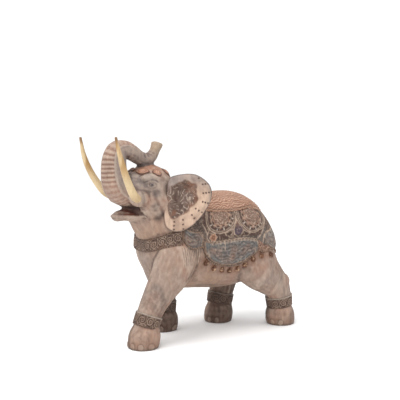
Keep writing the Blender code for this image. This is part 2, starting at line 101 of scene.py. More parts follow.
ANKLES = {  # two rows of each leg's centre line: x, y, z, half width, half depth
    "front_left": [(21, -80.5, 20, 11, 11.4), (21.5, -75, 34, 11.6, 12.4)],
    "front_right": [(-24, -32.5, 20, 11.4, 11.8), (-24, -32, 34, 11.8, 12.4)],
    "hind_right": [(-21, 36, 20, 12, 12.8), (-21.5, 39, 33, 12.4, 13.6)],
    "hind_left": [(25, 80.5, 20, 12, 12.8), (25, 79, 31, 12.4, 13.8)],
}
FEET = [(21, -83), (-24, -33), (-21, 34), (25, 82)]
FOOT_RADIUS = 15.2
EAR_ROOT = (27.5, -62, 138)
EAR_TURN = 32
EAR_CENTRE = (17, -1)
EAR_OUTLINE = [
    (2, 15), (4.5, 20), (10, 22), (16.5, 23), (23, 23.2), (29.4, 22), (36.4, 17.8), (41.5, 12.2), (43.4, 5.5),
    (42.4, -1.5), (39.6, -7.8), (33.1, -17.1), (26.5, -24), (18.7, -29.1), (12.6, -31), (6.1, -30.4), (0.8, -27),
    (-1.3, -20.6), (-1.6, -14), (-0.5, -6), (0.5, 2), (1.3, 9),
]
EAR_DEPTH, EAR_RIM_CURL, EAR_THICKNESS = 6.5, 3.0, 2.6
EAR_FIT = 0.992  # the carved outline as a share of the CAD one
TUSK = [  # x, y, z, radius
    (18, -83, 138, 3.2), (23.5, -89, 138.5, 3.9), (28, -96.5, 143.5, 3.9), (32.3, -104.6, 156, 3.4),
    (34.8, -110.4, 168.5, 2.9), (35.6, -114, 179.5, 2.2), (35, -116.2, 189, 1.5), (35, -117.4, 195, 1.15),
]
TUSK_FIT = 0.985  # the carved radius as a share of the CAD one

# ------------------------------ colours

STUDIO_SHARE = 0.6
# The two darkest greys serve as the wood's own grey mottling, the eye's iris and the ear's dark edge, and also as
# painted shade in folds, hollows, sockets and round the tusk roots.
PALETTE = {  # sRGB, 0 to 255
    "warm": (190, 156, 133), "cool": (158, 143, 136), "pink": (184, 145, 124), "brown": (138, 100, 80),
    "dark": (72, 54, 47), "pale": (216, 194, 176), "grey_and_shade": (98, 87, 86), "deep_grey_and_shade": (72, 64, 66), "mouth": (112, 62, 46),
    "rim": (226, 194, 170), "rim_grey": (172, 156, 148), "bowl": (136, 113, 102), "stud": (86, 60, 54),
    "ivory": (246, 218, 172), "gold": (190, 144, 82), "root": (204, 172, 130),
    "panel": (90, 68, 60), "medallion": (150, 118, 102), "cream": (212, 186, 164), "white": (232, 216, 200),
    "copper": (186, 132, 104), "rose": (224, 176, 152), "lobe": (121, 119, 117), "lobe_dark": (92, 87, 85),
    "lobe_pale": (152, 142, 134), "plum": (96, 80, 88), "cloth": (132, 112, 100), "hem": (170, 138, 114),
    "band": (106, 82, 70), "band_light": (196, 168, 148), "bronze": (146, 100, 74), "bronze_dark": (86, 54, 40),
    "bronze_light": (214, 176, 142),
}


def tone(name):
    """A palette colour, which is how it looks under the studio's light, as the share of light that it returns."""
    value = np.array(PALETTE[name]) / 255
    return STUDIO_SHARE * np.where(value <= 0.04045, value / 12.92, ((value + 0.055) / 1.055) ** 2.4)


def mixed(base, other, share):
    """base with share of other laid over it; each is a colour's name or an array of colours."""
    base, other = (tone(colour) if isinstance(colour, str) else colour for colour in (base, other))
    share = np.clip(np.asarray(share, float), 0, 1)[..., None]
    return base * (1 - share) + other * share


def layered(paint, *layers):
    """paint with one colour and share after another laid over it."""
    for colour, share in layers:
        paint = mixed(paint, colour, share)
    return paint


# ------------------------------ lines and noise


def world(points):
    return (np.asarray(points, float) + (0, FORWARD, 0)) * MM


def carver(points):
    return np.asarray(points, float) / MM - (0, FORWARD, 0)


def smoothstep(low, high, value):
    t = np.clip((np.asarray(value, float) - low) / (high - low), 0.0, 1.0)
    return t * t * (3 - 2 * t)


def fade(low, high, value):
    return 1 - smoothstep(low, high, value)


def bump(distance, width):
    return np.exp(-((distance / width) ** 2))


def ripple(place, period):
    """A wave between 0 and 1 that peaks once in each period."""
    return 0.5 + 0.5 * np.cos(TURN * place / period)


def unit(vectors):
    return vectors / np.linalg.norm(vectors, axis=-1, keepdims=True)


def circle(count):
    return np.linspace(0, TURN, count, endpoint=False)


def travel(lines):
    """Distance of each point of a line, or of a grid's rows, from the line's start."""
    steps = np.linalg.norm(np.diff(lines, axis=-2), axis=-1)
    return np.concatenate([np.zeros(steps.shape[:-1] + (1,)), np.cumsum(steps, axis=-1)], axis=-1)


def catmull(rows, steps):
    """The rows of a table, with steps rows on a smooth curve through each stretch between two of them."""
    rows = np.array(rows, float)
    padded = np.concatenate([rows[:1], rows, rows[-1:]])
    smooth = []
    for a, b, c, d in zip(padded, padded[1:], padded[2:], padded[3:]):
        for t in np.arange(steps) / steps:
            bend = (2 * a - 5 * b + 4 * c - d) * t**2 + (3 * b - a - 3 * c + d) * t**3
            smooth.append(0.5 * (2 * b + (c - a) * t + bend))
    return np.array(smooth + [rows[-1]])


def closed_curve(outline, steps):
    """A closed outline with steps points on a smooth curve through each of its sides but the last."""
    return catmull(outline[-1:] + outline + outline[:2], steps)[steps : -2 * steps]


def noise(points, size, seed):
    """Smooth noise from -1 to 1 over points in mm, with spots about size across."""
    lattice = np.random.default_rng(seed).uniform(-1, 1, (32, 32, 32))
    place = np.asarray(points, float) / size
    base = np.floor(place).astype(int)
    t = place - base
    t = t * t * (3 - 2 * t)
    total = np.zeros(len(place))
    for corner in range(8):
        offset = np.array([corner & 1, corner >> 1 & 1, corner >> 2 & 1])
        weight = np.where(offset, t, 1 - t).prod(axis=1)
        total += weight * lattice[tuple(((base + offset) % 32).T)]
    return total


def fractal(points, size, seed, octaves=3):
    return sum(noise(points, size / 2**k, seed + k) / 2**k for k in range(octaves)) / (2 - 0.5 ** (octaves - 1))


def reach(points, line):
    """Distance of each point from a line of points, in two or three dimensions."""
    best = np.full(len(points), 1e9)
    for a, b in zip(line, line[1:]):
        a, b = np.array(a, float), np.array(b, float)
        along = b - a
        share = np.clip((points - a) @ along / (along @ along), 0, 1)
        best = np.minimum(best, np.linalg.norm(points - a - share[:, None] * along, axis=1))
    return best


def inside(points, outline):
    """Which points lie within a closed outline."""
    x, y = points[:, 0], points[:, 1]
    result = np.zeros(len(points), bool)
    for (x0, y0), (x1, y1) in zip(outline, outline[1:] + outline[:1]):
        if y0 != y1:
            result ^= ((y0 > y) != (y1 > y)) & (x < (x1 - x0) * (y - y0) / (y1 - y0) + x0)
    return result


def raised(spots):
    """Flat places as points in space, for noise."""
    return np.concatenate([spots, np.zeros((len(spots), 1))], 1)


def middle_of(box):
    """Centre of a box of the row frame, in the carver's frame."""
    low, high = np.array(box)
    return carver((low + high) / 2)


def scrolls(along, across, pitch, spacing):
    """Carved vine, 0 to 1: spirals set pitch apart that roll alternately one way and the other."""
    column = np.floor(along / pitch)
    row = np.floor(across / pitch + 0.5)
    beside = along - (column + 0.5) * pitch
    above = across - row * pitch
    way = np.where((column + row) % 2 == 0, 1, -1)
    radius = np.hypot(beside, above)
    turn = np.arctan2(above * way, beside) / TURN
    share = radius / pitch
    vine = ripple(radius / spacing - turn, 1) ** 1.5 * fade(0.48, 0.56, share)
    return np.maximum(vine, ripple(along + 0.6 * across, spacing) * smoothstep(0.5, 0.62, share))


# ------------------------------ meshes


def piece(name, vertices, faces, paint, slot_name, wind=True):
    """A piece in the slot's finish over its broad colours; wind turns all its faces outwards.

    Its name is one word and then the name of the CAD node whose place it takes.
    """
    node = name.split("_", 1)[1]
    mesh = bpy.data.meshes.new(name)
    mesh.from_pydata([tuple(v) for v in vertices], [], faces)
    mesh.update()
    mesh.shade_smooth()
    obj = bpy.data.objects.new(name, mesh)
    bpy.context.scene.collection.objects.link(obj)
    lay_paint(mesh, paint)
    dress(obj, node, slot_name)
    if wind:
        shape = bmesh.new()
        shape.from_mesh(mesh)
        bmesh.ops.recalc_face_normals(shape, faces=shape.faces)
        shape.to_mesh(mesh)
        shape.free()


def lay_paint(mesh, paint):
    colours = np.ones((len(mesh.vertices), 4), np.float32)
    colours[:, :3] = paint
    layer = mesh.attributes.new("paint", "FLOAT_COLOR", "POINT")
    layer.data.foreach_set("color", colours.ravel())


def dress(obj, node, slot_name):
    obj.data.materials.clear()
    obj.data.materials.append(FINISHES[slot_name])
    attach(obj, "root")
    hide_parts(node)


def sheet_faces(rows, columns, closed_rows=False, closed_columns=False):
    """Four-sided faces over a grid of vertices."""
    i = np.arange(rows if closed_rows else rows - 1)[:, None]
    j = np.arange(columns if closed_columns else columns - 1)[None, :]
    k, m = (i + 1) % rows, (j + 1) % columns
    corners = [i * columns + j, k * columns + j, k * columns + m, i * columns + m]
    return np.stack(np.broadcast_arrays(*corners), -1).reshape(-1, 4).tolist()


def tube_faces(rows, columns):
    """Faces of a tube of rings, with a cap at each end."""
    last = (rows - 1) * columns
    caps = [list(range(columns)), list(range(last, last + columns))[::-1]]
    return sheet_faces(rows, columns, closed_columns=True) + caps


COARSE = 4  # the underside of a plate takes one vertex in this many


def plate(name, points, normals, height, low, paint, back, slot_name):
    """A closed plate over a grid of surface points (metres): relief height (mm) on top and a coarse underside."""
    top = points + normals * height[..., None] * MM
    under = (points + normals * low * MM)[::COARSE, ::COARSE]
    upper = np.arange(height.size).reshape(height.shape)
    lower = height.size + np.arange(under[..., 0].size).reshape(under.shape[:2])
    faces = sheet_faces(*upper.shape)
    faces += [[v + height.size for v in face[::-1]] for face in sheet_faces(*lower.shape)]
    for edge, flip in ((np.s_[0], False), (np.s_[-1], True), (np.s_[:, 0], True), (np.s_[:, -1], False)):
        over, beneath = upper[edge].tolist(), lower[edge].tolist()
        for k in range(len(beneath) - 1):
            face = over[k * COARSE : (k + 1) * COARSE + 1] + [beneath[k + 1], beneath[k]]
            faces.append(face[::-1] if flip else face)
    vertices = np.concatenate([top.reshape(-1, 3), under.reshape(-1, 3)])
    paint = np.concatenate([paint.reshape(-1, 3), np.tile(tone(back), (lower.size, 1))])
    piece(name, vertices, faces, paint, slot_name, wind=False)


def outward(points, guide):
    """Unit normals of a grid of points, on the side that guide points to."""
    along = np.gradient(points, axis=0)
    across = np.gradient(points, axis=1)
    normals = np.cross(along, across)
    normals /= np.linalg.norm(normals, axis=2, keepdims=True) + 1e-12
    return normals * np.where((normals * guide).sum(axis=2, keepdims=True) > 0, 1, -1)


def eased(grid, times):
    """A grid of points with its bumps smoothed away; its rim stays."""
    grid = grid.copy()
    for _ in range(times):
        around = grid[:-2, 1:-1] + grid[2:, 1:-1] + grid[1:-1, :-2] + grid[1:-1, 2:]
        grid[1:-1, 1:-1] += 0.5 * (around / 4 - grid[1:-1, 1:-1])
    return grid


def cast(tree, origins, directions):
    """Where a grid of rays leaves the carved block."""
    shape = origins.shape
    hits = np.empty((origins.size // 3, 3))
    for k, (origin, direction) in enumerate(zip(origins.reshape(-1, 3), directions.reshape(-1, 3))):
        hits[k] = tree.ray_cast(Vector(origin), Vector(direction))[0]
    return hits.reshape(shape)


def coordinates(mesh):
    values = np.empty(len(mesh.vertices) * 3)
    mesh.vertices.foreach_get("co", values)
    return values.reshape(-1, 3)


def directions_out(mesh):
    values = np.empty(len(mesh.vertices) * 3, np.float32)
    mesh.vertex_normals.foreach_get("vector", values)
    return values.reshape(-1, 3).astype(float)


SHRINK_BACK = 0.52  # share of each smoothing step that is taken back, so that the block keeps its size


class Net:
    """The edges of a mesh, to smooth values over its surface."""

    def __init__(self, mesh):
        ends = np.empty(len(mesh.edges) * 2, int)
        mesh.edges.foreach_get("vertices", ends)
        self.a, self.b = ends.reshape(-1, 2).T
        self.count = len(mesh.vertices)
        self.degree = np.bincount(np.concatenate([self.a, self.b]), minlength=self.count).clip(1)

    def mean(self, values):
        """The average over each vertex's neighbours."""
        flat = values.reshape(self.count, -1)
        sums = np.stack([
            np.bincount(self.a, column[self.b], self.count) + np.bincount(self.b, column[self.a], self.count)
            for column in flat.T
        ], 1)
        return (sums / self.degree[:, None]).reshape(values.shape)

    def smooth(self, values, times, back=0.0):
        """Moves values towards their neighbours' mean; back is the share of each step that is taken back."""
        for _ in range(times):
            values = values + 0.5 * (self.mean(values) - values)
            if back:
                values = values - back * (self.mean(values) - values)
        return values


def refined(node, name, voxel, rounds):
    """A finer copy of a CAD node whose facets are smoothed away."""
    source = frame["nodes"][node]
    obj = bpy.data.objects.new(name, source.data.copy())
    bpy.context.scene.collection.objects.link(obj)
    mesh = bmesh.new()
    mesh.from_mesh(obj.data)
    bmesh.ops.remove_doubles(mesh, verts=mesh.verts, dist=1e-6)
    mesh.to_mesh(obj.data)
    mesh.free()
    modifier = obj.modifiers.new("fine", "REMESH")
    modifier.mode = "VOXEL"
    modifier.voxel_size = voxel * MM
    graph = bpy.context.evaluated_depsgraph_get()
    graph.update()
    data = bpy.data.meshes.new_from_object(obj.evaluated_get(graph))
    obj.modifiers.clear()
    obj.data = data
    net = Net(data)
    data.vertices.foreach_set("co", net.smooth(coordinates(data), rounds, SHRINK_BACK).ravel())
    data.update()
    data.shade_smooth()
    return obj, net


# ------------------------------ materials


def painted(name, roughness, streaks, grain, relief, contrast=0.16, coat=0.0):
    """A painted carved finish.  Broad colours come from the attribute paint; the nodes lay streaks of stain and
    fine grain over them, and give the surface its pores.  streaks scales the grain along x, y and z."""
    made = bpy.data.materials.new(name)
    made.use_nodes = True
    nodes, links = made.node_tree.nodes, made.node_tree.links

    def fill(node, inputs):
        for key, value in inputs.items():
            if isinstance(value, bpy.types.NodeSocket):
                links.new(value, node.inputs[key])
            else:
                node.inputs[key].default_value = value

    def add(kind, output, inputs, **settings):
        """The output of a new node whose inputs are numbers or the outputs of other nodes."""
        node = nodes.new("ShaderNode" + kind)
        for key, value in settings.items():
            setattr(node, key, value)
        fill(node, inputs)
        return node.outputs[output]

    def ramp(value, middle, spread):
        limits = {"From Min": 0.3, "From Max": 0.7, "To Min": middle - spread, "To Max": middle + spread}
        return add("MapRange", "Result", {"Value": value, **limits})

    place = add("TexCoord", "Object", {})
    stretched = add("Mapping", "Vector", {"Scale": streaks, "Vector": place})
    tint = add("TexNoise", "Fac", {"Scale": 260.0, "Detail": 4.0, "Distortion": 0.6, "Vector": stretched})
    fine = add("TexNoise", "Fac", {"Scale": grain, "Detail": 3.0, "Vector": place})
    shades = {0: ramp(tint, 1, contrast), 1: ramp(fine, 1, 0.5 * contrast)}
    shade = add("Math", "Value", shades, operation="MULTIPLY")
    broad = add("Attribute", "Color", {}, attribute_name="paint")
    colour = add("VectorMath", "Vector", {"Vector": broad, "Scale": shade}, operation="SCALE")
    height = add("Math", "Value", {0: tint, 1: fine}, operation="MULTIPLY")
    pores = add("Bump", "Normal", {"Strength": relief, "Distance": 0.0004, "Height": height})
    surface = {"Base Color": colour, "Roughness": ramp(fine, roughness, 0.07), "Normal": pores}
    fill(nodes["Principled BSDF"], {**surface, "Specular IOR Level": 0.22})
    if coat:
        fill(nodes["Principled BSDF"], {"Coat Weight": coat, "Coat Roughness": 0.35})
    return made


FINISHES = {
    "wood": painted("carved_wood", 0.62, (1.0, 1.0, 0.3), 2600.0, 0.5),
    "ivory": painted("ivory_paint", 0.38, (1.0, 1.0, 0.12), 1800.0, 0.2, 0.08, 0.15),
    "eye": painted("eye_paint", 0.3, (1.0, 1.0, 1.0), 3000.0, 0.1, 0.1, 0.3),
    "cloth": painted("cloth_paint", 0.58, (1.0, 0.6, 1.0), 3200.0, 0.5, 0.14),
    "seat": painted("seat_paint", 0.5, (1.0, 0.3, 1.0), 3000.0, 0.5, 0.14),
    "band": painted("band_paint", 0.55, (1.0, 1.0, 0.6), 3200.0, 0.5),
    "petal": painted("petal_paint", 0.45, (1.0, 1.0, 1.0), 3200.0, 0.4, 0.12),
    "bronze": painted("bronze_paint", 0.42, (1.0, 1.0, 0.4), 2400.0, 0.5, 0.2),
}

# ------------------------------ body


def along_trunk(points):
    """For each point: distance travelled along the trunk's centre line, angle round it from its underside, and
    distance from it as a share of the trunk's own half width there."""
    line = catmull(TRUNK, 12)
    centre = line[:, :3]
    tangent = unit(np.gradient(centre, axis=0))
    batches = np.array_split(points, len(points) // BATCH + 1)
    nearest = np.concatenate([((batch[:, None] - centre) ** 2).sum(-1).argmin(1) for batch in batches])
    away = points - centre[nearest]
    travelled = travel(centre)[nearest] + (away * tangent[nearest]).sum(1)
    side = away[:, 0] / line[nearest, 3]
    under = -(away * np.cross(tangent[nearest], (1.0, 0, 0))).sum(1) / line[nearest, 4]
    return travelled, np.degrees(np.arctan2(side, under)), np.hypot(side, under)


BATCH = 20000  # points looked up at a time, to keep the table of distances small
NOSTRIL_Y = -53.4
FRONT_HALF_WIDTH = 34, 41  # degrees to each side where the ringed front of the trunk starts to fade and ends
TRUNK_TWIST = 22  # degrees that the trunk's ringed underside is turned to the elephant's left
CREASES = [  # carved folds: depth, half width, points near it on the left side; the right side mirrors them
    (0.5, 2.4, [(27, -73, 142), (27.5, -70, 134), (26, -64, 126), (24, -58, 118)]),
    (0.35, 1.8, [(17, -88, 128), (21, -80, 129), (24, -74, 131)]),
    (0.9, 2.4, [(37, -27, 92), (37.5, -32, 76), (36, -40, 62)]),
    (0.4, 2.2, [(18, -64, 104), (22, -60, 112), (26, -56, 122)]),
    (0.6, 2.6, [(36, 45, 84), (33, 52, 70), (32, 56, 58)]),
]


def carve_trunk(points, masks):
    """Rings across the front of the trunk between two rims, faint ones behind, and the nostril."""
    x, y, z = points.T
    travelled, angle, radius = along_trunk(points)
    on_trunk = (radius < 1.35) & (travelled > 3) & ((z > 150) | (y < -84)) & (z > 126)
    angle = np.abs(angle - TRUNK_TWIST)
    band_end = fade(64, 74, travelled)
    front = on_trunk * fade(*FRONT_HALF_WIDTH, angle) * smoothstep(2, 12, travelled) * band_end
    strong = smoothstep(22, 32, travelled) * fade(46, 58, travelled)
    pitch = 2.6 + 0.9 * smoothstep(8, 26, travelled)
    rings = np.cos(TURN * (travelled - 22 + 0.5 * noise(points, 9, 3)) / pitch)
    rim = on_trunk * bump(angle - 43, 5) * smoothstep(6, 14, travelled) * band_end
    hole = fade(2.0, 4.2, np.hypot(x, y - NOSTRIL_Y)) * smoothstep(188, 191.5, z)
    back_rings = on_trunk * (1 - front) * np.cos(TURN * (travelled + 1.5 * noise(points, 7, 5)) / 5.2)
    masks.update(travelled=travelled, rings=front * rings, strong=front * strong, front=front, rim=rim)
    masks.update(trunk=on_trunk * smoothstep(2, 14, travelled), nostril=hole)
    move = front * rings * (0.08 + 0.17 * strong) + 0.25 * rim - 0.2 * front
    return move + 0.05 * back_rings * smoothstep(60, 75, travelled) - 2.6 * hole


def carve_details(points):
    """How far each vertex of the block moves out, in mm, and the masks that its paint needs."""
    x, y, z = points.T
    masks = defaultdict(float)
    move = carve_trunk(points, masks)
    for depth, width, line in CREASES:
        for side in (1, -1):
            fold = bump(reach(points * (side, 1, 1), catmull(line, 6)), width)
            move -= depth * fold
            masks["fold"] = np.maximum(masks["fold"], 0.6 * fold)

    for side in (1, -1):
        gap = points - eye_centre(side)
        near = (x * side > 12) & (np.hypot(gap[:, 1], gap[:, 2]) < 14)
        ring = np.hypot(gap[:, 1] * 0.8, gap[:, 2] * 1.1)
        lid = bump(ring - 2.2, 0.7) * near
        fold = np.hypot(gap[:, 1] * 0.72, gap[:, 2] + 0.5)
        upper = bump(fold - 3.7, 0.8) * near * smoothstep(0, 2.5, gap[:, 2])
        trough = bump(fold - 5.0, 0.8) * near * smoothstep(0.5, 3.5, gap[:, 2])
        under = bump(ring - 4.0, 0.8) * near * smoothstep(0, 3, -gap[:, 2])
        move += 0.4 * lid + 0.35 * upper - 0.3 * trough - 0.15 * under
        masks["eye"] = np.maximum(masks["eye"], near * fade(5, 8, ring))
        masks["lid"] += 0.6 * lid + 0.3 * upper
        masks["socket"] += 0.35 * bump(ring - 3.1, 0.5) * near + 0.75 * trough
        tusk = catmull([(side * a, b, c) for a, b, c, _ in TUSK[:4]], 6)
        groove = bump(reach(points, tusk) - 5.6, 1.5) * (z < 152) * smoothstep(-88, -82, y)
        move -= 0.35 * groove
        masks["collar_gap"] += groove

    for foot_x, foot_y in FEET:
        for turn in (-52, -18, 16, 50):
            place = math.radians(turn)
            at = (foot_x + FOOT_RADIUS * math.sin(place), foot_y - FOOT_RADIUS * math.cos(place), 3.4)
            gap = points - at
            outwards = (math.sin(place), -math.cos(place), 0)
            sideways = gap @ (math.cos(place), math.sin(place), 0)
            shape = np.hypot(sideways / 2.7, gap[:, 2] / 3.2)
            near = gap @ outwards > -5
            nail = fade(0.75, 1.05, shape) * near
            move += 0.35 * nail
            masks["nail"] += nail
            masks["nail_edge"] += bump(shape - 1.1, 0.16) * near

    lips = (y < -72) & (y > -103) & (np.abs(x) < 18)
    move += lips * (0.5 * bump(z - 121.6, 0.9) - 0.7 * bump(z - 124.4, 1.5))
    fringe = smoothstep(-52, -49, y) * fade(-29, -26, y) * smoothstep(73, 76, z)
    fringe = fringe * (z < 92) * (np.abs(x) > 26)
    strands = ripple(y + 0.6 * noise(points, 5, 31), 2.4)
    masks.update(fringe=fringe, strands=strands)
    move += 0.22 * fringe * (strands - 0.3)
    move += 0.22 * fractal(points * (1, 1, 0.6), 11, 11) + 0.05 * fractal(points, 3, 21)
    return move, masks


def eye_centre(side):
    return middle_of(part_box("eye_left" if side > 0 else "eye_right"))


# The pale and pink patches are painted highlights on the cheeks, under the eye and beside the trunk's root. The dark
# and grey ones darken the hollow behind the tusk root, the folds round the eye, the cheek, the temple and the brow
# beside the curled trunk, partly as painted shade.
PATCHES = [  # marks painted on the head: centre, half sizes, colour, strength
    ((27, -85.5, 139), (20, 2.4, 8), "deep_grey_and_shade", 0.7),
    ((26, -70, 143.5), (20, 5.5, 4.5), "deep_grey_and_shade", 0.7),
    ((27, -73, 131), (20, 5.5, 6), "deep_grey_and_shade", 0.65),
    ((27, -67, 122), (20, 6.0, 8), "deep_grey_and_shade", 0.6),
    ((22, -84, 155), (20, 6.0, 2.6), "deep_grey_and_shade", 0.5),
    ((25, -78, 156.8), (20, 5.0, 1.8), "deep_grey_and_shade", 0.4),
    ((26, -70.5, 154), (20, 2.0, 4.5), "deep_grey_and_shade", 0.4),
    ((28, -59, 152), (20, 5.0, 9), "grey_and_shade", 0.35),
    ((10, -76, 176), (9, 13, 5), "grey_and_shade", 0.55),
    ((20, -87, 159.5), (20, 8.0, 2.0), "pale", 0.6),
    ((25, -77, 147.5), (20, 6.0, 2.0), "pale", 0.6),
    ((26, -80, 140), (20, 3.0, 6), "pink", 0.7),
    ((28, -65, 136), (20, 4.0, 7), "pink", 0.7),
    ((25, -82, 125), (20, 4.0, 3), "pale", 0.5),
]


def paint_body(points, normals, masks, hollow, ridge):
    x, y, z = points.T
    slant = points.copy()  # stain runs down the legs, which slant out fore and aft
    slant[:, 1] += 0.45 * z * np.tanh(-y / 25)
    blotches = fractal(points, 26, 40)
    streaks = fractal(slant * (1, 1, 0.25), 8, 50)
    thin = fractal(slant * (1, 1, 0.16), 2.4, 60)
    fine = fractal(slant * (1, 1, 0.5), 3.0, 65)
    paint = mixed("warm", "cool", 0.4 + 0.6 * blotches + 0.3 * smoothstep(100, 150, z))
    paint = mixed(paint, "pink", 0.75 * smoothstep(-0.15, 0.45, fractal(points, 16, 70)))
    low = 1 - 0.6 * smoothstep(80, 120, z)
    paint = layered(
        paint,
        ("brown", 0.6 * smoothstep(0.1, 0.7, streaks) * low),
        ("brown", 0.3 * smoothstep(0.1, 0.6, thin) * low),
        ("grey_and_shade", 0.5 * smoothstep(0.2, 0.6, fractal(slant * (1, 1, 0.35), 17, 68))),
        ("pale", 0.2 * smoothstep(0.1, 0.5, -fine)),
        ("pale", 0.45 * smoothstep(0.15, 0.5, fractal(slant * (1, 1, 0.3), 12, 69))),
        ("brown", 0.45 * fade(3, 14, z)),
        ("dark", 0.35 * fade(13, 20, z) * smoothstep(0.0, 0.5, fine + 0.5 * blotches)),
    )
    trunk = masks["trunk"]
    paint = mixed(paint, "cool", 0.5 * trunk)
    shade = smoothstep(66, 84, masks["travelled"]) * trunk
    paint = mixed(paint, "grey_and_shade", shade * (0.35 + 0.5 * fractal(points, 9, 75)))
    paint = mixed(paint, "pink", 0.75 * masks["front"])
    # The rings' grooves are browner and their crests paler: the rings' own colour, deepened by painted shade in the
    # grooves and painted highlight on the crests. The carved folds are darkened with painted shade.
    grooves = smoothstep(0.1, 0.9, -masks["rings"])
    paint = layered(
        paint,
        ("brown", grooves * (0.15 + 0.4 * masks["strong"])),
        ("pale", smoothstep(0.6, 0.95, masks["rings"]) * (0.1 + 0.45 * masks["strong"])),
        ("pale", 0.35 * masks["rim"]),
        ("root", 0.6 * trunk * smoothstep(174, 188, z) * smoothstep(-66, -58, y)),
        ("dark", 0.85 * masks["nostril"]),
        ("grey_and_shade", 0.75 * masks["fold"]),
    )
    # The roof of the mouth, which faces down, and the top of the gap between the lips are darkened as painted shade
    # inside the mouth.
    mouth_low = (normals[:, 2] > 0.25) * (z < 131) * (y < -69) * (np.abs(x) < 15)
    mouth_roof_shade = (normals[:, 2] < -0.35) * (z > 124) * (z < 140) * (y > -101) * (y < -66) * (np.abs(x) < 16)
    within_lips = smoothstep(122.6, 123.8, z) * (z < 131) * (y < -69) * smoothstep(-100, -96, y) * (np.abs(x) < 17)
    paint = layered(
        paint,
        ("mouth", 0.85 * mouth_low * smoothstep(-106, -96, y)),
        ("mouth", 0.85 * within_lips),
        ("dark", 0.5 * within_lips * smoothstep(126, 130, z)),
        ("dark", 0.8 * mouth_roof_shade * smoothstep(-98, -88, y)),
        # Paler eyelids; the eye's socket and the groove round each tusk root are darkened as painted shade.
        ("pale", 0.5 * np.clip(masks["lid"], 0, 1)),
        ("grey_and_shade", 0.45 * np.clip(masks["socket"], 0, 1) + 0.35 * np.clip(masks["collar_gap"], 0, 1)),
    )
    # Each patch is laid on both sides of the head: painted highlights and painted shade, as listed above.
    for centre, size, colour, share in PATCHES:
        for side in (1, -1):
            gap = (points - np.array(centre) * (side, 1, 1)) / size
            tint = fade(0.35, 1.1, np.linalg.norm(gap, axis=1))
            paint = mixed(paint, colour, share * tint * (0.8 + 0.5 * fine))
    crown = bump(np.linalg.norm((points - (0, -64, 166)) / (22, 22, 12), axis=1), 1.0)
    paint = mixed(paint, "copper", 0.75 * smoothstep(0.3, 0.7, crown) * (z > 156) * (1 - trunk))
    # Darker at the tip of the lower jaw, under the trunk.
    paint = mixed(paint, "grey_and_shade", 0.55 * fade(-101, -91, y) * (z < 127) * (z > 112))
    # Painted shade on the low sides of the legs that face the other legs.
    inner_leg_shade = smoothstep(-0.3, 0.5, -normals[:, 0] * np.sign(x)) * fade(30, 52, z)
    paint = mixed(paint, mixed("brown", "dark", 0.85), 0.9 * inner_leg_shade)
    paint = mixed(paint, "dark", 0.6 * fade(0.8, 3.4, z))
    worn = smoothstep(-0.1, 0.5, fractal(points, 4, 77))
    strand_paint = mixed(mixed("warm", "brown", 0.45), "pale", 0.55 * masks["strands"])
    paint = mixed(paint, strand_paint, masks["fringe"] * (0.4 + 0.5 * worn))
    dash = bump(z - 77.5, 0.6) + bump(z - 82.5, 0.5)
    paint = mixed(paint, "pale", 0.6 * masks["fringe"] * dash * smoothstep(-0.2, 0.3, np.cos(y * 1.3)))
    wash = np.zeros(len(points))
    for side in ("left", "right"):
        for k in range(len(TASSELS)):
            hung = middle_of(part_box(f"tassel_{side}_{k + 1}")) + (0, 0, 1.5)
            wash = np.maximum(wash, bump(np.linalg.norm(points - hung, axis=1), 5.5))
    paint = layered(
        paint,
        (mixed("brown", "bronze", 0.5), 0.9 * wash),
        ("pale", 0.3 * np.clip(masks["nail"], 0, 1) * (0.6 + 1.2 * fine)),
        ("dark", 0.35 * np.clip(masks["nail_edge"], 0, 1)),
    )
    foot = fade(14, 20, z)
    # Hollows are darkened, partly a dark wash and partly painted shade, less so on the trunk's ringed front, round the
    # eye and on the feet; ridges are paled, partly rubbed paint and partly painted highlight.
    soft = 1 - np.maximum(np.maximum(0.7 * masks["front"], 0.6 * masks["eye"]), 0.6 * foot)
    paint = mixed(paint, mixed("dark", "grey_and_shade", 0.3), 0.65 * soft * smoothstep(0.05, 0.6, hollow))
    paint = mixed(paint, "pale", 0.4 * (1 - 0.7 * foot) * smoothstep(0.05, 0.4, ridge))
    return paint


BODY_VOXEL, BODY_ROUNDS = 0.9, 26  # size of the block's new facets, times it is smoothed
SOLE_HEIGHT = 0.25  # what lies lower than this is put on the ground
FINE_ROUNDS, BROAD_ROUNDS = 4, 40  # smoothing that tells narrow hollows and broad ones


def build_body():
    obj, net = refined("body", "elephant_body", BODY_VOXEL, BODY_ROUNDS)
    data = obj.data
    start = coordinates(data)
    start[:, 2] = np.where(start[:, 2] < SOLE_HEIGHT * MM, 0.0, start[:, 2])
    data.vertices.foreach_set("co", start.ravel())
    data.update()
    normals = directions_out(data)
    tree = BVHTree.FromPolygons([Vector(v) for v in start], [tuple(p.vertices) for p in data.polygons])
    points = carver(start)
    move, masks = carve_details(points)
    move *= smoothstep(0.0, 2.0, points[:, 2])
    shaped = start + normals * move[:, None] * MM
    # hollow and ridge say how far the surface sinks below or stands above its smoothed self; they darken the hollows,
    # partly as painted shade, and pale the ridges, partly as painted highlight.
    near, far = net.smooth(shaped, FINE_ROUNDS), net.smooth(shaped, BROAD_ROUNDS)
    fine = ((near - shaped) * normals).sum(1) / MM
    broad = ((far - shaped) * normals).sum(1) / MM
    hollow = np.clip(fine * 6, 0, 1) + 0.5 * np.clip(broad * 0.9, 0, 1)
    ridge = np.clip(-fine * 6, 0, 1) + 0.4 * np.clip(-broad * 0.7, 0, 1)
    data.vertices.foreach_set("co", shaped.ravel())
    data.update()
    lay_paint(data, paint_body(points, normals, masks, hollow, ridge))
    dress(obj, "body", "wood")
    return tree


# ------------------------------ cloth


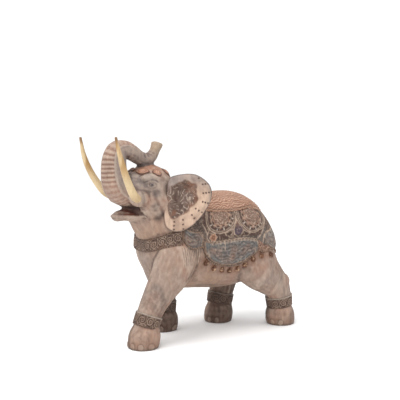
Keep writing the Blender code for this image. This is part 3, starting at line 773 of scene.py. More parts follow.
def cloth_rays(places, angles):
    """Origins (row frame, metres) and directions of the cloth's fan of rays; angles in degrees from straight up."""
    stations = np.array(CLOTH_STATIONS, float)
    index = np.clip(places, 0, 1) * (len(stations) - 1)
    top, flank, height, lean = (np.interp(index, np.arange(len(stations)), column) for column in stations.T)
    turn, lean = np.radians(angles), np.radians(lean)
    level = np.sin(np.minimum(np.abs(turn), math.pi / 2)) ** 2
    zero = np.zeros_like(turn)
    origins = world(np.stack([zero, top + (flank - top) * level, height + zero], -1))
    directions = np.stack([np.sin(turn) * np.cos(lean), np.sin(lean) + zero, np.cos(turn) * np.cos(lean)], -1)
    return origins, directions


def hem_angle(places):
    return np.interp(places, *np.transpose(HEM))


def cloth_grid(tree, places, shares, ease):
    """Surface points, normals, and how far each point is along the flank and down from the spine, in mm."""
    grid = np.meshgrid(places, shares, indexing="ij")
    origins, directions = cloth_rays(grid[0], hem_angle(grid[0]) * grid[1])
    points = eased(cast(tree, origins, directions), ease)
    flank = cast(tree, *cloth_rays(FLANK_PLACES, np.full(len(FLANK_PLACES), 70.0)))
    along = np.interp(grid[0], FLANK_PLACES, travel(flank) / MM)
    down = travel(points) / MM
    spine = np.array([np.interp(0.0, shares, row) for row in down])
    return points, outward(points, directions), along, np.abs(down - spine[:, None])


FLANK_PLACES = np.linspace(0, 1, 61)

PANEL = [
    (21, 8), (20.6, 43.8), (25.7, 52), (28.3, 57.5), (36, 59.5), (48, 60), (60, 60), (72, 59.5), (84, 58),
    (89.7, 55), (96.2, 44.3), (101, 34), (99.4, 24), (92, 10),
]
MAIN_LOBE = [
    (23, 60), (23, 65.2), (24.4, 71), (32.1, 79.7), (42.6, 84.6), (55.2, 86.3), (68.6, 83.9), (75.1, 79.3),
    (84.7, 74.5), (85.5, 64), (79, 61.5), (70, 62), (58, 62), (48, 62), (38, 62), (32, 62.5),
]
FRONT_LOBE = [(-2, 52), (8, 53), (17, 51), (21.5, 57), (19.5, 64), (14, 69.5), (7.7, 72), (-2, 72)]
REAR_LOBE = [
    (94.6, 53.9), (97.8, 59), (105.4, 60), (112, 64), (122, 66), (130, 62), (130, 28), (114, 31), (106.9, 40.2),
    (97.8, 48.4),
]
MEDALLIONS = [  # centre, outline from the seat's edge round below, petals round it
    ((42.5, 37.5), [(61.5, 33), (61.1, 40.3), (58.1, 47), (52.2, 51.6), (44, 54.3), (34.7, 53.6), (28.3, 50.1),
                    (25.2, 44.3), (26, 32.7), (30, 24), (42, 22), (55, 25)], 11),
    ((82, 39), [(100.9, 32.5), (96.2, 41.8), (88, 50.8), (79, 56), (71.8, 54.5), (67, 50.4), (64.1, 45.4),
                (62.6, 38.4), (66, 30), (76, 24), (90, 22), (99, 26)], 11),
]
LOTUS = [
    (61.1, 43.1), (58.1, 47.7), (55.6, 52.1), (56, 57), (59.6, 59.6), (63.4, 58.6), (66, 55.8), (66.8, 52.3),
    (64.1, 48.2), (61.1, 43.1),
]
LEAVES = [
    [(45.3, 54.8), (49.5, 54), (54.2, 51.3), (54.2, 55.6), (50.5, 58.4), (46.8, 57.6), (45.3, 54.8)],
    [(67.6, 53.4), (70.6, 55.4), (75.3, 56.4), (72.8, 58.8), (69, 59.6), (67.2, 56.8), (67.6, 53.4)],
]
SPINES = [  # pale raised lines across the cloth
    [(20.6, 43.8), (23.5, 48.5), (25.7, 53.5), (28.3, 48.9)],
    [(25.7, 53.5), (25, 57), (27.5, 60.5)],
    [(84.7, 60.5), (89.7, 55), (96.2, 44.3), (101.5, 33), (103, 24)],
    [(92, 62), (94.6, 53.9), (97.8, 48.4), (106.9, 40.2), (114, 31)],
]
ARCHES = (33.5, 37.6, 41.6, 45.6, 49.6, 53.6, 57.6, 61.6, 65.6, 69.6, 73.6, 77.6, 81.6)
ROSETTE = (32, 57.3)


def contour_lobe(spot, outline, relief, paint, base):
    """A lobe filled with wandering lines that follow its border, like the bands of an agate."""
    within = inside(spot, outline)
    depth = reach(spot, outline + outline[:1])
    flat = raised(spot)
    wander = depth + 2.4 * fractal(flat, 12, 80, 2) + 0.8 * np.sin(spot[:, 0] * 0.5)
    bands = ripple(wander, 3.2)
    worn = 0.4 + 0.9 * fractal(flat, 5, 85, 2)
    filled = mixed(base, "medallion", 0.5 + 0.9 * fractal(flat, 9, 90, 2) - 0.4 * fade(2, 7, depth))
    filled = mixed(filled, "lobe_dark", 0.6 * smoothstep(0.45, 0.95, 1 - bands))
    filled = mixed(filled, "lobe_pale", worn * smoothstep(0.6, 1.0, bands))
    paint = mixed(paint, filled, within)
    edge = bump(depth, 0.55)
    paint = mixed(paint, "hem", 0.8 * edge)
    return np.where(within, 0.1 + 0.18 * bands, relief) + 0.3 * edge, paint


def medallion(spot, centre, outline, petals, relief, paint):
    """A carved rosette: double border, a ring of drops on dark ground, a scalloped ring and a curling heart."""
    gap = spot - centre
    radius = np.hypot(*gap.T)
    angle = np.arctan2(gap[:, 1], gap[:, 0])
    rim = np.array(outline, float) - centre
    border = np.interp(angle, np.arctan2(rim[:, 1], rim[:, 0]), np.hypot(*rim.T), period=TURN)
    share = radius / border
    within = share < 1.02
    paint = mixed(paint, "panel", 0.9 * within)
    heart = share < 0.6 + 0.04 * np.cos(petals * angle)
    paint = mixed(paint, "medallion", 0.85 * heart * within)
    lines = np.maximum(bump((share - 0.98) * border, 0.6), 0.8 * bump((share - 0.88) * border, 0.5))
    scallop = 0.62 + 0.07 * np.abs(np.sin(petals * angle / 2))
    lines = np.maximum(lines, 0.9 * bump((share - scallop) * border, 0.5))
    curl = radius / 3.3 + 0.35 * np.sin(5 * angle + 0.4 * radius) + 0.15 * np.sin(12 * angle - 0.6 * radius)
    lines = np.maximum(lines, 0.8 * heart * smoothstep(0.6, 0.95, ripple(curl, 1)))
    sector = (angle * petals / TURN) % 1 - 0.5
    aside = sector * TURN / petals * radius
    below = smoothstep(0.1, 0.4, np.sin(angle))
    drop = below * fade(0.5, 1.1, np.hypot(aside / 0.75, (share - 0.79) * border / 1.3))
    petal = bump(np.abs(sector) - 0.5, 0.12) * (share > 0.64) * (share < 0.74)
    paint = layered(
        paint,
        ("cream", 0.85 * lines * within),
        ("rose", 0.5 * petal * within),
        ("white", drop * within),
    )
    ring = (share > 0.52) & heart
    paint = mixed(paint, "copper", 0.35 * ring)
    return np.where(within, -0.12 + 0.4 * lines + 0.45 * drop + 0.12 * heart, relief), paint


def stroke(spot, line, width, height, share, relief, paint):
    """A raised cream line."""
    mark = bump(reach(spot, line), width)
    return relief + height * mark, mixed(paint, "cream", share * mark)


def cloth_pattern(along, down, hem_gap):
    """Carved height (mm) and colour of the cloth at each place of it."""
    shape = along.shape
    spot = np.stack([along.ravel(), down.ravel()], 1)
    flat = raised(spot)
    hem_gap = hem_gap.ravel()
    vine = scrolls(spot[:, 0] + 3, spot[:, 1] - 4, 9.5, 2.4)
    paint = mixed("cloth", "panel", 0.75 * (1 - vine))
    paint = mixed(paint, "hem", 0.5 * smoothstep(0.6, 1.0, vine))
    paint = mixed(paint, "lobe", 0.5 * smoothstep(0.0, 0.5, fractal(flat, 16, 100, 2)))
    # Painted shadow of the ear on the cloth below it.
    ear_shadow = fade(17, 26, spot[:, 0]) * fade(46, 56, spot[:, 1])
    paint = mixed(paint, mixed("dark", "lobe_dark", 0.5), 0.6 * ear_shadow)
    relief = -0.15 + 0.4 * vine

    panel = inside(spot, PANEL)
    ground = mixed("panel", "medallion", 0.35 * smoothstep(0.2, 1, scrolls(spot[:, 0], spot[:, 1], 6.5, 2.1)))
    paint = mixed(paint, ground, panel)
    relief = np.where(panel, -0.15, relief)
    for centre, outline, petals in MEDALLIONS:
        relief, paint = medallion(spot, centre, outline, petals, relief, paint)

    lotus = inside(spot, LOTUS)
    paint = mixed(paint, mixed("medallion", "plum", smoothstep(46, 53, spot[:, 1])), lotus)
    relief = np.where(lotus, 0.2, relief)
    for outline in LEAVES:
        leaf = inside(spot, outline)
        paint = mixed(paint, "dark", 0.8 * leaf)
        relief = np.where(leaf, -0.2, relief)
        relief, paint = stroke(spot, outline, 0.5, 0.35, 0.8, relief, paint)
    relief, paint = stroke(spot, LOTUS, 0.55, 0.4, 0.9, relief, paint)
    relief, paint = stroke(spot, [(61.1, 34.6), (61.1, 43.1)], 0.7, 0.3, 0.7, relief, paint)
    for outline, base in ((MAIN_LOBE, "lobe"), (FRONT_LOBE, "lobe"), (REAR_LOBE, "lobe_pale")):
        relief, paint = contour_lobe(spot, outline, relief, paint, base)

    lace = np.zeros(len(spot))
    for place in ARCHES:
        gap = np.hypot(spot[:, 0] - place, (spot[:, 1] - 63.4) * 1.15)
        lace = np.maximum(lace, bump(gap - 2.5, 0.5) * (spot[:, 1] < 64.5))
        lace = np.maximum(lace, 0.8 * bump(gap, 0.8))
    lace = np.maximum(lace, bump(reach(spot, [(44.5, 62), (44.8, 70.5)]), 0.5))
    between = (spot > (31, 57.5)).all(1) & (spot < (84, 63)).all(1)
    paint = mixed(paint, "dark", 0.55 * between)
    relief, paint = relief + 0.3 * lace, mixed(paint, "cream", 0.75 * lace)

    beside, below = (spot - ROSETTE).T
    rosette = np.hypot(beside, below)
    petal = 3.6 + 0.5 * np.cos(6 * np.arctan2(below, beside))
    paint = layered(
        paint,
        ("copper", 0.9 * (rosette < petal)),
        ("dark", 0.7 * bump(rosette - 1.3, 0.5)),
        ("cream", 0.8 * bump(rosette - petal, 0.5)),
    )
    relief = relief + 0.3 * bump(rosette, 3.4)

    patch = inside(spot, [(86, 61), (92, 62.5), (98, 61), (112, 66), (112, 80), (86, 80)])
    curls = scrolls(spot[:, 0], spot[:, 1] - 66, 6.5, 2.2)
    paint = mixed(paint, mixed("copper", "panel", 0.8 * (1 - curls)), 0.9 * patch)
    paint = mixed(paint, "cream", 0.7 * patch * smoothstep(0.75, 1.0, curls))
    relief = np.where(patch, 0.4 * curls, relief)
    for line in SPINES:
        relief, paint = stroke(spot, line, 0.6, 0.35, 0.8, relief, paint)

    bead = ripple(spot[:, 0], 2.3)
    cord = bump(hem_gap - 1.0, 0.75)
    grit = fractal(flat, 1.7, 170, 2)
    paint = mixed(paint, "panel", 0.55 * smoothstep(0.15, 0.6, grit))
    paint = mixed(paint, "cream", 0.4 * smoothstep(0.2, 0.65, -grit))
    relief = relief + 0.08 * grit
    relief = relief * smoothstep(1.2, 2.6, hem_gap) + cord * (0.15 + 0.3 * bead)
    paint = mixed(paint, mixed("panel", "hem", 0.2 + 0.7 * bead), smoothstep(0.25, 0.6, cord))
    paint = mixed(paint, "dark", 0.5 * bump(hem_gap - 2.4, 0.45))
    return relief.reshape(shape), paint.reshape(shape + (3,))


def rounded_edge(gap, width):
    """0 at the edge of a plate and 1 from width (mm) inside it."""
    return np.sqrt(1 - (1 - np.clip(gap / width, 0, 1)) ** 2)


def edge_gap(along, down):
    """How far each point of a grid is inside the plate's edges."""
    end_gap = np.minimum(along - along[:1], along[-1:] - along)
    return np.minimum(down.max(axis=1, keepdims=True) - down, end_gap)


def build_cloth(tree):
    places = np.linspace(0, 1, 61 * COARSE + 1)
    shares = np.linspace(-1, 1, 84 * COARSE + 1)
    points, normals, along, down = cloth_grid(tree, places, shares, 6)
    gap = edge_gap(along, down)
    relief, paint = cloth_pattern(along, down, gap)
    edge = rounded_edge(gap, PLATE_EDGE)
    height = (CLOTH_HEIGHT + relief - 0.15) * edge + PLATE_LIP * (1 - edge)
    plate("painted_saddle_cloth", points, normals, height, PLATE_FOOT, paint, "panel", "cloth")


SEAT_PITCH = 2.7  # from one rib of the seat to the next


def build_seat(tree):
    places = np.linspace(SEAT_FROM, SEAT_TO, 41 * COARSE + 1)
    shares = np.linspace(-SEAT_SHARE, SEAT_SHARE, 34 * COARSE + 1)
    points, normals, along, down = cloth_grid(tree, places, shares, 8)
    gap = edge_gap(along, down)
    spot = np.stack([along.ravel(), down.ravel()], 1)
    flat = raised(spot)
    wave = spot[:, 1] + 0.7 * np.sin(spot[:, 0] * 0.9 + 2 * fractal(flat, 6, 110, 2))
    wave = wave + 1.6 * fractal(flat, 5, 120, 2)
    lines = ripple(wave, SEAT_PITCH)
    links = ripple(spot[:, 0] + SEAT_PITCH * np.floor(wave / SEAT_PITCH), 2 * SEAT_PITCH)
    lines = np.maximum(lines**1.5, 0.55 * links * (lines > 0.2)).reshape(along.shape)
    border = bump(gap - 1.1, 0.6)
    groove = bump(gap - 2.3, 0.5)
    relief = 0.55 * lines - 0.3 + 0.35 * border - 0.35 * groove
    crown = 0.35 * smoothstep(0, 16, gap)
    edge = rounded_edge(gap, PLATE_EDGE)
    height = SEAT_LOW + (SEAT_HEIGHT - SEAT_LOW - 0.1 + relief + crown) * edge
    spots = fractal(flat, 9, 130).reshape(along.shape)
    paint = mixed("copper", "rose", 0.35 + 0.5 * spots)
    paint = layered(
        paint,
        ("brown", 0.7 * smoothstep(0.4, 0.95, 1 - lines)),
        ("rim", 0.7 * smoothstep(0.55, 0.95, lines)),
        ("hem", 0.7 * border),
        ("dark", 0.7 * groove),
    )
    plate("painted_seat_pad", points, normals, height, SEAT_LOW - 0.4, paint, "brown", "seat")


def build_tassels(tree):
    """Drops under the hem: a knot, then a ribbed drop."""
    around, down_steps = 28, 22
    turn = circle(around)[None, :]
    lean = np.linspace(0.02, math.pi - 0.02, down_steps)[:, None]
    level = -np.cos(lean)
    width = np.sin(lean) * (1 - 0.3 * bump(level + 0.45, 0.14)) * (1 - 0.25 * bump(level + 0.9, 0.5))
    width = width * (1 + 0.05 * np.cos(9 * turn) * smoothstep(-0.4, -0.1, level))
    shape = np.broadcast_arrays(width * np.cos(turn), level, width * np.sin(turn))
    local = (np.stack(shape, -1) * TASSEL_SIZE).reshape(-1, 3)
    faces = tube_faces(down_steps, around)
    for side, word in SIDES:
        for number, place in enumerate(TASSELS, 1):
            hem = float(hem_angle(place))
            ends = [(place, side * hem), (place, side * (hem + 8)), (min(place + 0.03, 1.0), side * hem)]
            origins, directions = cloth_rays(*np.array(ends).T)
            edge, below, beside = cast(tree, origins, directions)
            down = unit(below - edge)
            out = unit(np.cross(down, beside - edge))
            out = out if out @ directions[0] > 0 else -out
            centre = edge + down * (0.7 + TASSEL_SIZE[1]) * MM + out * 0.8 * MM
            vertices = centre + local @ np.stack([np.cross(down, out), down, out]) * MM
            points = carver(vertices)
            paint = mixed("bronze", "bronze_dark", 0.5 + 0.8 * fractal(points, 3, 140))
            paint = mixed(paint, "bronze_light", 0.9 * smoothstep(0.15, 0.45, fractal(points, 2.2, 150)))
            paint = mixed(paint, "bronze_dark", 0.8 * bump(local[:, 1] / TASSEL_SIZE[1] + 0.45, 0.16))
            piece(f"carved_tassel_{word}_{number}", vertices, faces, paint, "bronze")


def build_band(tree):
    columns, rows = 64 * COARSE + 1, 8 * COARSE + 1
    turn = np.radians(np.linspace(-90, 90, columns))[:, None]
    across = np.linspace(-0.5, 0.5, rows)[None, :]
    level = np.sin(turn) ** 2
    zero = np.zeros((columns, rows))
    across = BAND_HEIGHT * across + zero
    origins = world(np.stack([zero, -40 - 7.5 * level + zero, 92 + 8.5 * level + across], -1))
    directions = np.stack([np.sin(turn) + zero, -np.cos(turn) + zero, zero], -1)
    points = eased(cast(tree, origins, directions), 6)
    along = travel(points[:, rows // 2])[:, None] / MM + zero
    gap = BAND_HEIGHT / 2 - np.abs(across)
    relief, paint = strap_pattern(np.abs(along - along[columns // 2]), across, gap)
    edge = rounded_edge(gap, PLATE_EDGE)
    height = (BAND_RELIEF_FROM + relief) * edge + PLATE_LIP * (1 - edge)
    plate("carved_breast_band", points, outward(points, directions), height, PLATE_FOOT, paint, "dark", "band")


STRAP_PITCH = 7.6  # length of one curl of the vine


def strap_pattern(along, across, gap):
    """A strap's vine between two cords."""
    vine = scrolls(along, across, STRAP_PITCH, 1.9)
    flower = scrolls(along + 1.9, across + 2.3, 3.8, 1.7)
    vine = np.maximum(vine, 0.7 * flower)
    cords = bump(gap - 0.9, 0.6)
    flat = np.stack([along.ravel(), across.ravel(), np.zeros(along.size)], 1)
    worn = fractal(flat, 8, 160).reshape(along.shape)
    paint = mixed("dark", "band", 0.15 + 0.85 * smoothstep(0.15, 0.6, vine))
    paint = layered(
        paint,
        ("band_light", (0.75 + 0.5 * worn) * smoothstep(0.45, 0.85, vine)),
        ("band", 0.8 * cords),
        ("brown", 0.3 * smoothstep(0, 0.5, worn)),
    )
    return (0.55 * vine - 0.35) * smoothstep(1.2, 2.2, gap) + 0.2 * cords, paint


ANKLET_CURLS = 10


def build_anklets():
    """Cuffs with a vine between two cords, each a closed ring."""
    around, up_steps, hidden = 176, 29, 5
    turn = circle(around)[:, None]
    z = np.linspace(ANKLET_FROM, ANKLET_TO, up_steps)[None, :] + np.zeros((around, 1))
    gap = np.minimum(z - ANKLET_FROM, ANKLET_TO - z)
    edge = rounded_edge(gap, 1.0)
    heights = np.concatenate([z[0], np.linspace(ANKLET_TO - 0.6, ANKLET_FROM + 0.6, hidden)])
    faces = sheet_faces(around, len(heights), closed_rows=True, closed_columns=True)
    inside_paint = np.tile(tone("dark"), (around, hidden, 1))
    for leg, rows in ANKLES.items():
        lower, upper = np.array(rows, float)
        upward = np.cross(unit(upper[:3] - lower[:3]), (1.0, 0, 0))
        pitch = TURN * lower[3] / ANKLET_CURLS
        vine_along = (turn * lower[3] + np.zeros_like(z)) * STRAP_PITCH / pitch
        relief, paint = strap_pattern(vine_along, z - (ANKLET_FROM + ANKLET_TO) / 2, gap)
        # Painted shade on the side of each cuff that faces the other legs.
        inner_side_shade = smoothstep(-0.3, 0.5, -np.cos(turn) * np.sign(lower[0]))
        paint = mixed(paint, "white", 0.5 * bump(ANKLET_TO - z - 0.8, 0.7))
        paint = mixed(paint, "dark", 0.55 * inner_side_shade)
        outer = (1.05 + relief) * edge - 0.3 * (1 - edge)
        profile = np.concatenate([outer, np.full((around, hidden), -1.2)], axis=1)
        share = (heights - lower[2]) / (upper[2] - lower[2])
        centre = lower[:3] + (upper - lower)[:3] * share[:, None]
        width, depth = (lower[k] + (upper - lower)[k] * share + profile for k in (3, 4))
        vertices = centre + (1.0, 0, 0) * (width * np.cos(turn))[..., None]
        vertices = world(vertices + upward * (depth * np.sin(turn))[..., None]).reshape(-1, 3)
        paint = np.concatenate([paint, inside_paint], axis=1).reshape(-1, 3)
        piece(f"carved_anklet_{leg}", vertices, faces, paint, "band")


# ------------------------------ head


def build_petals(tree):
    around, steps = 48, 12
    turn = circle(around)[:, None]
    share = np.linspace(1.0, 0.04, steps) + np.zeros((around, 1))
    columns = steps + 1
    faces = sheet_faces(around, columns, closed_rows=True)
    faces += [[k * columns for k in range(around)], [k * columns + steps for k in range(around)][::-1]]
    for name, centre, pointing, half_length, half_width in PETALS:
        for side, word in SIDES if centre[0] else SIDES[:1]:
            full = "petal_" + name.replace("side", word)
            place, out = tree.find_nearest(Vector(world(np.multiply(centre, (side, 1, 1)))))[:2]
            place, out, pointing_way = np.array(place), np.array(out), np.multiply(pointing, (side, 1.0, 1))
            along = unit(pointing_way - out * (out @ pointing_way))
            length = half_length * np.cos(turn) * share
            width = half_width * np.sin(turn) * np.abs(np.sin(turn)) ** 0.6 * share
            flat = place + (along * length[..., None] + np.cross(out, along) * width[..., None]) * MM
            points = cast(tree, flat + out * 3 * MM, np.broadcast_to(-out, flat.shape).copy())
            inset = (1 - share) * half_width
            outline = bump(inset - 0.4, 0.45)
            inner = bump(share - 0.55, 0.08)
            vein = bump(width, 0.35) * (share < 0.5)
            height = 0.3 + 1.0 * rounded_edge(inset, 1.0) + 0.25 * inner - 0.2 * outline - 0.25 * vein
            height = np.concatenate([np.full((around, 1), -0.6), height], axis=1)
            points = np.concatenate([points[:, :1], points], axis=1)
            vertices = (points + out * height[..., None] * MM).reshape(-1, 3)
            paint = mixed("copper", "rose", 0.25 + 0.6 * smoothstep(0.3, 0.9, 1 - share))
            paint = mixed(paint, "brown", 0.7 * inner + 0.5 * vein)
            paint = mixed(paint, "dark", outline)
            paint = np.concatenate([np.tile(tone("dark"), (around, 1, 1)), paint], axis=1).reshape(-1, 3)
            piece("carved_" + full, vertices, faces, paint, "petal")


BOWL = [  # edge of the ear's hollow: out from the head, up
    (-4, 2), (-3, 10), (8, 13), (21.1, 16.4), (28.5, 12.5), (29.4, 3.5), (28.5, -4), (22.9, -8.6), (16.4, -15.1),
    (6.2, -18.8), (2.4, -12), (1.6, -2),
]
STUDS = [  # rows of studs across the rim: first, last, how many
    ((31.0, 19.0), (36.5, 21.4), 3), ((34.5, 13.2), (42.4, 14.2), 4), ((35.0, 5.0), (43.0, 6.0), 4),
    ((34.5, -3.0), (41.6, -5.0), 4), ((28.0, -9.4), (36.6, -14.6), 4), ((24.4, -15.2), (29.0, -21.2), 3),
    ((16.2, -19.8), (16.4, -28.2), 3), ((8.0, -21.6), (7.6, -28.6), 3),
]


def build_ear(side, word):
    """A cupped shell: a wrinkled hollow, a wide studded rim that curls back at the edge, a root at the head."""
    fine = (closed_curve(EAR_OUTLINE, 9) - EAR_CENTRE) * EAR_FIT
    shares = np.linspace(0.03, 1.0, 52)
    spot = EAR_CENTRE + fine[:, None] * shares[None, :, None]
    out, up = spot[..., 0], spot[..., 1]
    flat = spot.reshape(-1, 2)

    def grain(kind, size, seed, stretch=(1, 1, 1)):
        return kind(raised(flat) * stretch, size, seed).reshape(out.shape)

    share = np.broadcast_to(shares[None], out.shape)
    bowl = -EAR_DEPTH * fade(0.25, 0.78, share)
    curl = -EAR_RIM_CURL * smoothstep(0.8, 1.0, share) * smoothstep(-24, -6, up) * smoothstep(8, 26, out)
    edge_line = closed_curve(BOWL, 5).tolist()
    rim_gap = reach(flat, edge_line + edge_line[:1]) * np.where(inside(flat, edge_line), 1, -1)
    rim_gap = rim_gap.reshape(out.shape) + 2.4 * grain(fractal, 6, 165)
    hollow = smoothstep(-0.8, 1.0, rim_gap)
    hollow_deep = smoothstep(0, 3.0, rim_gap)
    folds = grain(fractal, 4.6, 170, (1, 0.6, 1))
    swirl = grain(noise, 7.5, 180, (0.8, 1, 1)) * 4.2 + 0.5 * grain(noise, 2.6, 181)
    veins = smoothstep(0.35, 0.95, np.cos(TURN * swirl)) * (0.45 + 0.55 * fade(4, 13, up))
    veins = veins * smoothstep(-0.5, 0.4, grain(noise, 2.2, 182))
    relief = hollow_deep * (0.7 * folds + 0.4 * veins) + 0.3 * (1 - hollow) * grain(fractal, 10, 190)
    lip = bump(rim_gap - 0.2, 1.2)
    relief = relief + 0.6 * lip * (1 - hollow) - 0.3 * lip * hollow
    studs = np.zeros(out.shape)
    for first, last, number in STUDS:
        for at in np.linspace(first, last, number):
            studs = np.maximum(studs, fade(0.6, 1.15, np.linalg.norm(spot - at, axis=2)))
    relief = relief - 0.45 * studs
    edge = smoothstep(0.93, 1.0, share)
    depth_front = bowl + curl + relief * (1 - edge) - 0.6 * edge**2
    root = 11 * fade(3, 17, out) * fade(0.7, 0.96, share)
    thickness = EAR_THICKNESS - 0.9 * smoothstep(0.7, 1.0, share)
    back_relief = 0.5 * grain(fractal, 8, 200, (0.5, 1, 1))
    depth_back = bowl + curl - thickness - root + back_relief * (1 - edge) + 0.35 * edge**2
    across, forward = math.cos(math.radians(EAR_TURN)), math.sin(math.radians(EAR_TURN))
    depth = np.concatenate([depth_front, depth_back[:, ::-1]], axis=1)
    out_twice, up_twice = (np.concatenate([part, part[:, ::-1]], axis=1) for part in (out, up))
    vertices = np.stack([
        side * (EAR_ROOT[0] + out_twice * forward + depth * across),
        EAR_ROOT[1] + out_twice * across - depth * forward,
        EAR_ROOT[2] + up_twice,
    ], -1)
    count, columns = depth.shape
    faces = sheet_faces(count, columns, closed_rows=True)
    faces += [[k * columns for k in range(count)][::-1], [(k + 1) * columns - 1 for k in range(count)]]
    spots = grain(fractal, 9, 210)
    upper = smoothstep(4, 20, up) * 0.8 + 0.6 * smoothstep(38, 43, out)
    upper = np.maximum(upper, smoothstep(4, 11, up) * fade(16, 28, out))
    front = mixed("rim", "rim_grey", upper + 0.3 * spots)
    front = mixed(front, "brown", 0.35 * smoothstep(0.1, 0.6, spots))
    inner = mixed("bowl", "panel", 0.15 + 1.1 * folds + 0.4 * smoothstep(4, 14, up))
    inner = mixed(inner, "copper", 0.4 * smoothstep(0.1, 0.5, grain(fractal, 7, 220)))
    # Darker in the troughs between the hollow's folds, as painted shade.
    inner = mixed(inner, "dark", 0.5 * smoothstep(0.1, 0.5, -folds) * smoothstep(0, 3, rim_gap))
    inner = mixed(inner, "pale", 0.9 * veins)
    front = mixed(front, inner, hollow)
    front = mixed(front, "brown", 0.35 * bump(rim_gap - 0.4, 0.8))
    front = mixed(front, "stud", 0.95 * smoothstep(0.2, 0.8, studs))
    front = mixed(front, "grey_and_shade", 0.7 * smoothstep(0.955, 0.99, share))
    front = mixed(front, "grey_and_shade", 0.35 * smoothstep(0.1, 0.6, grain(fractal, 8, 215)) * smoothstep(12, 20, up))
    back = mixed("cool", "warm", 0.5 + 0.8 * spots)
    back = mixed(back, "brown", 0.5 * smoothstep(0.1, 0.6, -back_relief))
    paint = np.concatenate([front, back[:, ::-1]], axis=1).reshape(-1, 3)
    piece(f"carved_ear_{word}", world(vertices.reshape(-1, 3)), faces, paint, "wood")


def build_tusk(side, word):
    rows = catmull([(side * x, y, z, radius) for x, y, z, radius in TUSK], 9)
    around = 32
    centre, radius = rows[:, :3], rows[:, 3]
    tangent = unit(np.gradient(centre, axis=0))
    upward = unit(np.cross(tangent, (1.0, 0, 0)))
    turn = circle(around)
    share = np.linspace(0, 1, len(rows))
    facets = 1 + 0.02 * np.cos(5 * turn[None] + 6 * share[:, None])
    size = (radius * (1 - 0.35 * smoothstep(0.985, 1.0, share)))[:, None] * facets * TUSK_FIT
    ring = np.cross(upward, tangent)[:, None] * np.cos(turn)[:, None] + upward[:, None] * np.sin(turn)[:, None]
    vertices = (centre[:, None] + ring * size[..., None]).reshape(-1, 3)
    vertices[:, 2] = np.minimum(vertices[:, 2], TUSK[-1][2])
    z = vertices[:, 2]
    # The gold deepens higher up the tusk.
    upper_gold = smoothstep(152, 172, z)
    paint = mixed("ivory", "gold", 0.85 * upper_gold * smoothstep(0.0, 0.5, 0.4 + fractal(vertices * (1, 1, 0.2), 5, 230)))
    paint = mixed(paint, "root", 0.5 * fade(139, 146, z))
    paint = mixed(paint, "brown", 0.7 * smoothstep(186, 194, z))
    piece(f"carved_tusk_{word}", world(vertices), tube_faces(len(rows), around), paint, "ivory")


def build_eye(side, word):
    """An eyeball with a sunken pupil in a raised iris, looking out and a little forward."""
    look = unit(np.array([side * 0.93, -0.36, -0.04]))
    beside = unit(np.cross(look, (0, 0, 1.0)))
    around, steps = 40, 30
    lean, turn = np.meshgrid(np.linspace(0.03, math.pi - 0.03, steps), circle(around), indexing="ij")
    from_axis = np.degrees(lean)
    radius = 2.05 + 0.12 * bump(from_axis - 30, 8) - 0.25 * fade(10, 20, from_axis)
    local = np.stack([np.sin(lean) * np.cos(turn), np.sin(lean) * np.sin(turn), np.cos(lean)], -1)
    local = (local * radius[..., None]).reshape(-1, 3)
    vertices = eye_centre(side) + local @ np.stack([beside, np.cross(beside, look), look])
    paint = mixed("grey_and_shade", "cool", smoothstep(24, 40, from_axis))
    paint = mixed(paint, "dark", fade(12, 20, from_axis)).reshape(-1, 3)
    piece(f"carved_eye_{word}", world(vertices), tube_faces(steps, around), paint, "eye")


# ------------------------------ stage


FLOOR_REACH = 6
SKY_STRENGTH = 1.1


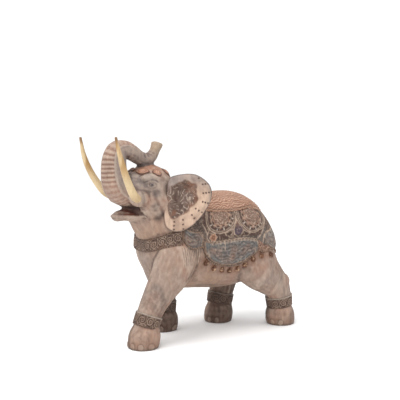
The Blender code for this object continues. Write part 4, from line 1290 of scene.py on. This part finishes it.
def build_stage():
    mesh = bpy.data.meshes.new("floor")
    corners = [(x * FLOOR_REACH, y * FLOOR_REACH, 0) for x, y in ((-1, -1), (1, -1), (1, 1), (-1, 1))]
    mesh.from_pydata(corners, [], [(0, 1, 2, 3)])
    floor = bpy.data.objects.new("floor", mesh)
    bpy.context.scene.collection.objects.link(floor)
    pale = bpy.data.materials.new("pale_floor")
    pale.use_nodes = True
    shader = pale.node_tree.nodes["Principled BSDF"]
    shader.inputs["Base Color"].default_value = (0.93, 0.93, 0.93, 1)
    shader.inputs["Roughness"].default_value = 0.9
    shader.inputs["Specular IOR Level"].default_value = 0.1
    mesh.materials.append(pale)
    sky = bpy.data.worlds.new("studio")
    sky.use_nodes = True
    back = sky.node_tree.nodes["Background"]
    back.inputs["Color"].default_value = (1, 1, 1, 1)
    back.inputs["Strength"].default_value = SKY_STRENGTH
    bpy.context.scene.world = sky
    bpy.context.scene.view_settings.view_transform = "Standard"


LIGHTS = [  # name, place, size across, power in watts
    ("overhead", (0.1, -0.7, 1.5), 0.9, 14),
    ("front_left", (1.3, -0.9, 0.9), 0.8, 5),
]


def build_lights():
    for name, place, size, power in LIGHTS:
        light = bpy.data.lights.new(name, "AREA")
        light.size = size
        light.energy = power
        obj = bpy.data.objects.new(name, light)
        obj.location = place
        obj.rotation_euler = (Vector((0, 0, 0.1)) - Vector(place)).to_track_quat("-Z", "Y").to_euler()
        bpy.context.scene.collection.objects.link(obj)


CAMERA_PLACE = (0.60024, -0.4132, 0.195)
CAMERA_AZIMUTH, CAMERA_TILT = 55.0, 4.9
CAMERA_LENS = 66.15


def build_camera():
    camera = bpy.data.cameras.new("camera")
    camera.lens = CAMERA_LENS
    camera.sensor_width = 36.0
    camera.clip_start = 0.01
    obj = bpy.data.objects.new("camera", camera)
    azimuth, tilt = math.radians(CAMERA_AZIMUTH), math.radians(CAMERA_TILT)
    look = Vector((-math.sin(azimuth) * math.cos(tilt), math.cos(azimuth) * math.cos(tilt), -math.sin(tilt)))
    obj.location = CAMERA_PLACE
    obj.rotation_euler = look.to_track_quat("-Z", "Y").to_euler()
    bpy.context.scene.collection.objects.link(obj)
    bpy.context.scene.camera = obj


build_camera()
build_stage()
build_lights()
surface = build_body()
build_cloth(surface)
build_seat(surface)
build_tassels(surface)
build_band(surface)
build_anklets()
build_petals(surface)
for way, hand in SIDES:
    build_ear(way, hand)
    build_tusk(way, hand)
    build_eye(way, hand)
